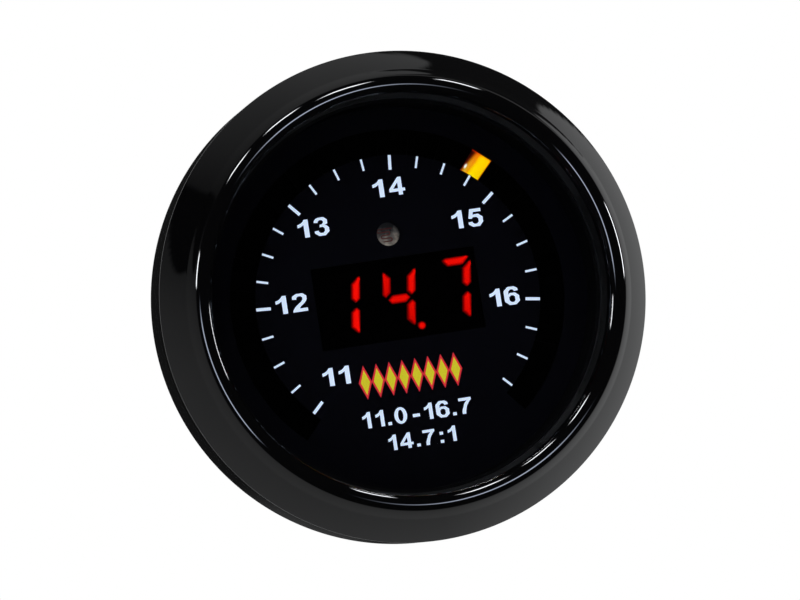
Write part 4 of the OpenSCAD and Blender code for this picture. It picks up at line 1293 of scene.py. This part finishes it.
def shell_light(around, polar):
    """Dark in front, grey where the cone looks, pale behind, and a dark card behind the gauge."""
    past = polar - (CONE_POLAR + CONE_SWING * cos(radians(around - CONE_TURN)))
    bow = past * past * (0.48 if past > 0 else 0.25)
    upper_gap = ease(around, 51.5 - bow, 53.2 - bow) - ease(around, 79 + bow, 80.5 + bow)
    left_gap = ease(around, 147.5, 149.5) - ease(around, 171 - 0.75 * bow, 172.5 - 0.75 * bow)
    grey = read_table(CONE_LIGHT, around)
    grey += (GAP_DARK - grey) * max(0.0, upper_gap) * ease(past, -9, -6)
    grey += (0.001 - grey) * max(0.0, left_gap) * ease(past, -14, -10)
    level = DARK + (grey - DARK) * ease(past, -22, -8)
    to_right = ease(cos(radians(around)), 0.5, 0.8)
    from_card = ease(degrees(towards(around, polar).angle(Vector((0, 1, 0)))), 15, 20)
    side = SIDE_DARK + 0.03 * ease(around, 228, 243) * (1 - ease(around, 256, 268))
    behind = side + (BACK_LIGHT - side) * from_card * max(to_right, ease(past, 24, 36))
    level += (behind - level) * ease(past, 7, 14)
    return (level * 0.99, level, level * 1.01)


studio_patch("studio_shell", (0, 360), (0, 180), shell_light, SHELL_R, divisions=(480, 180))

# %% [markdown]
# ## Lamps and bars for the crest
#
# The crest is a mirror bent round in a ring, so it shows each small lamp twice, once on its
# outer flank and once on its inner one, as a short white streak. Two long bluish bars beside
# the camera show as the long lines between them.

# %% Lamps and bars
LAMP_GLOW, LAMP_HALF = (26.0, 26.5, 27.5), 6.0
for index, (start, end, polar) in enumerate(
    ((7, 25, 99), (62, 73, 82), (82, 95, 55), (108, 120, 71), (125, 136, 62), (163, 175, 78))
):
    reach = (polar - LAMP_HALF, polar + LAMP_HALF)
    studio_patch("studio_lamp_%d" % index, (start, end), reach, LAMP_GLOW, LAMP_R, soft=1.5)


def studio_bar(name, start, end, width, colour, soft_end):
    """A bar of light given by its ends, in degrees right and up of the line to the camera."""
    a, b = Vector(start), Vector(end)
    along = b - a
    normal = Vector((-along.y, along.x)).normalized()
    steps, rows, corners, shares = 60, 8, [], []
    for j in range(rows + 1):
        for i in range(steps + 1):
            q = a + along * i / steps + normal * width * (j / rows - 0.5)
            corners.append((HUB + towards(degrees(atan2(q.y, q.x)), q.length) * LAMP_R) / MM)
            from_end = min(i, steps - i) / steps * along.length
            from_side = min(j, rows - j) / rows * width
            shares.append(ease(from_end, 0, soft_end) * ease(from_side, 0, width * 0.3))
    hang(name, corners, (steps, rows), shares, [colour] * len(corners))


BAR_GLOW = (8.6, 9.6, 12.0)
studio_bar("studio_bar_left", (-38, 4), (-15, -27), 15, BAR_GLOW, 7)
studio_bar("studio_bar_right", (13, -11), (47, -14), 14, BAR_GLOW, 13)

# %% [markdown]
# ## World, soft lamps and floor
#
# The world is white for the camera and for reflections, and a soft grey for everything that it
# lights. Three large soft lamps do the rest, at a level at which a colour comes out as it is
# written. The floor is pale and takes the gauge's shadow; far off it turns into the white
# background.

# %% World
world = bpy.data.worlds.new("studio_world")
bpy.context.scene.world = world
world.use_nodes = True
tree = world.node_tree
tree.nodes.clear()
rays = add(tree, "ShaderNodeLightPath").outputs
seen = maths(tree, "MAXIMUM", rays["Is Camera Ray"], rays["Is Glossy Ray"])
seen = maths(tree, "MAXIMUM", seen, rays["Is Transmission Ray"])
level = mapped(tree, seen, 0, 1, 0.6, 1.0)
white = add(tree, "ShaderNodeBackground", {"Color": (1, 1, 1, 1), "Strength": level})
add(tree, "ShaderNodeOutputWorld", {"Surface": white.outputs[0]})


# %% Soft lamps
def soft_lamp(name, place_mm, size_mm, watts):
    """A large square lamp that faces the gauge and doesn't show in reflections."""
    data = bpy.data.lights.new(name, "AREA")
    data.shape, data.size, data.energy = "SQUARE", mm(size_mm), watts
    lamp = new_object(name, data)
    place_m = mm(*place_mm)
    facing = (HUB - place_m).to_track_quat("-Z", "Y").to_matrix().to_4x4()
    lamp.matrix_world = Matrix.Translation(place_m) @ facing
    lamp.visible_glossy = False
    print("lamp", name, "at", place_mm)


soft_lamp("soft_front", (-350, -800, 550), 600, 1.6)
soft_lamp("soft_side", (750, -250, 500), 600, 1.2)
soft_lamp("soft_back", (200, 900, 700), 700, 1.6)

# %% Floor
FLOOR_Z, FADE_FROM, FADE_TO = -60, 120, 420
floor_pale, tree, out = bare_material("painted_floor_pale")
paint = add(tree, "ShaderNodeBsdfPrincipled", {"Roughness": 0.9, "Base Color": linear("#E6E6E4")})
away = add(tree, "ShaderNodeVectorMath", {0: on_object(tree)}, operation="LENGTH").outputs["Value"]
fade = mapped(tree, away, mm(FADE_FROM), mm(FADE_TO), interpolation_type="SMOOTHSTEP")
rays = add(tree, "ShaderNodeLightPath").outputs
white = add(tree, "ShaderNodeEmission", {"Color": (1, 1, 1, 1), "Strength": 1.0})
seen = maths(tree, "MULTIPLY", fade, rays["Is Camera Ray"])
both = add(tree, "ShaderNodeMixShader", {0: seen, 1: paint.outputs[0], 2: white.outputs[0]})
tree.links.new(both.outputs[0], out.inputs["Surface"])
bpy.ops.mesh.primitive_circle_add(vertices=64, radius=6, fill_type="NGON")
floor = bpy.context.object
floor.name = "studio_floor"
floor.data.transform(Matrix.Translation(mm(0, 0, FLOOR_Z)))
floor.data.materials.append(floor_pale)
floor.visible_glossy = False
bpy.context.scene.view_settings.view_transform = "Standard"
print("floor at", FLOOR_Z, "mm")
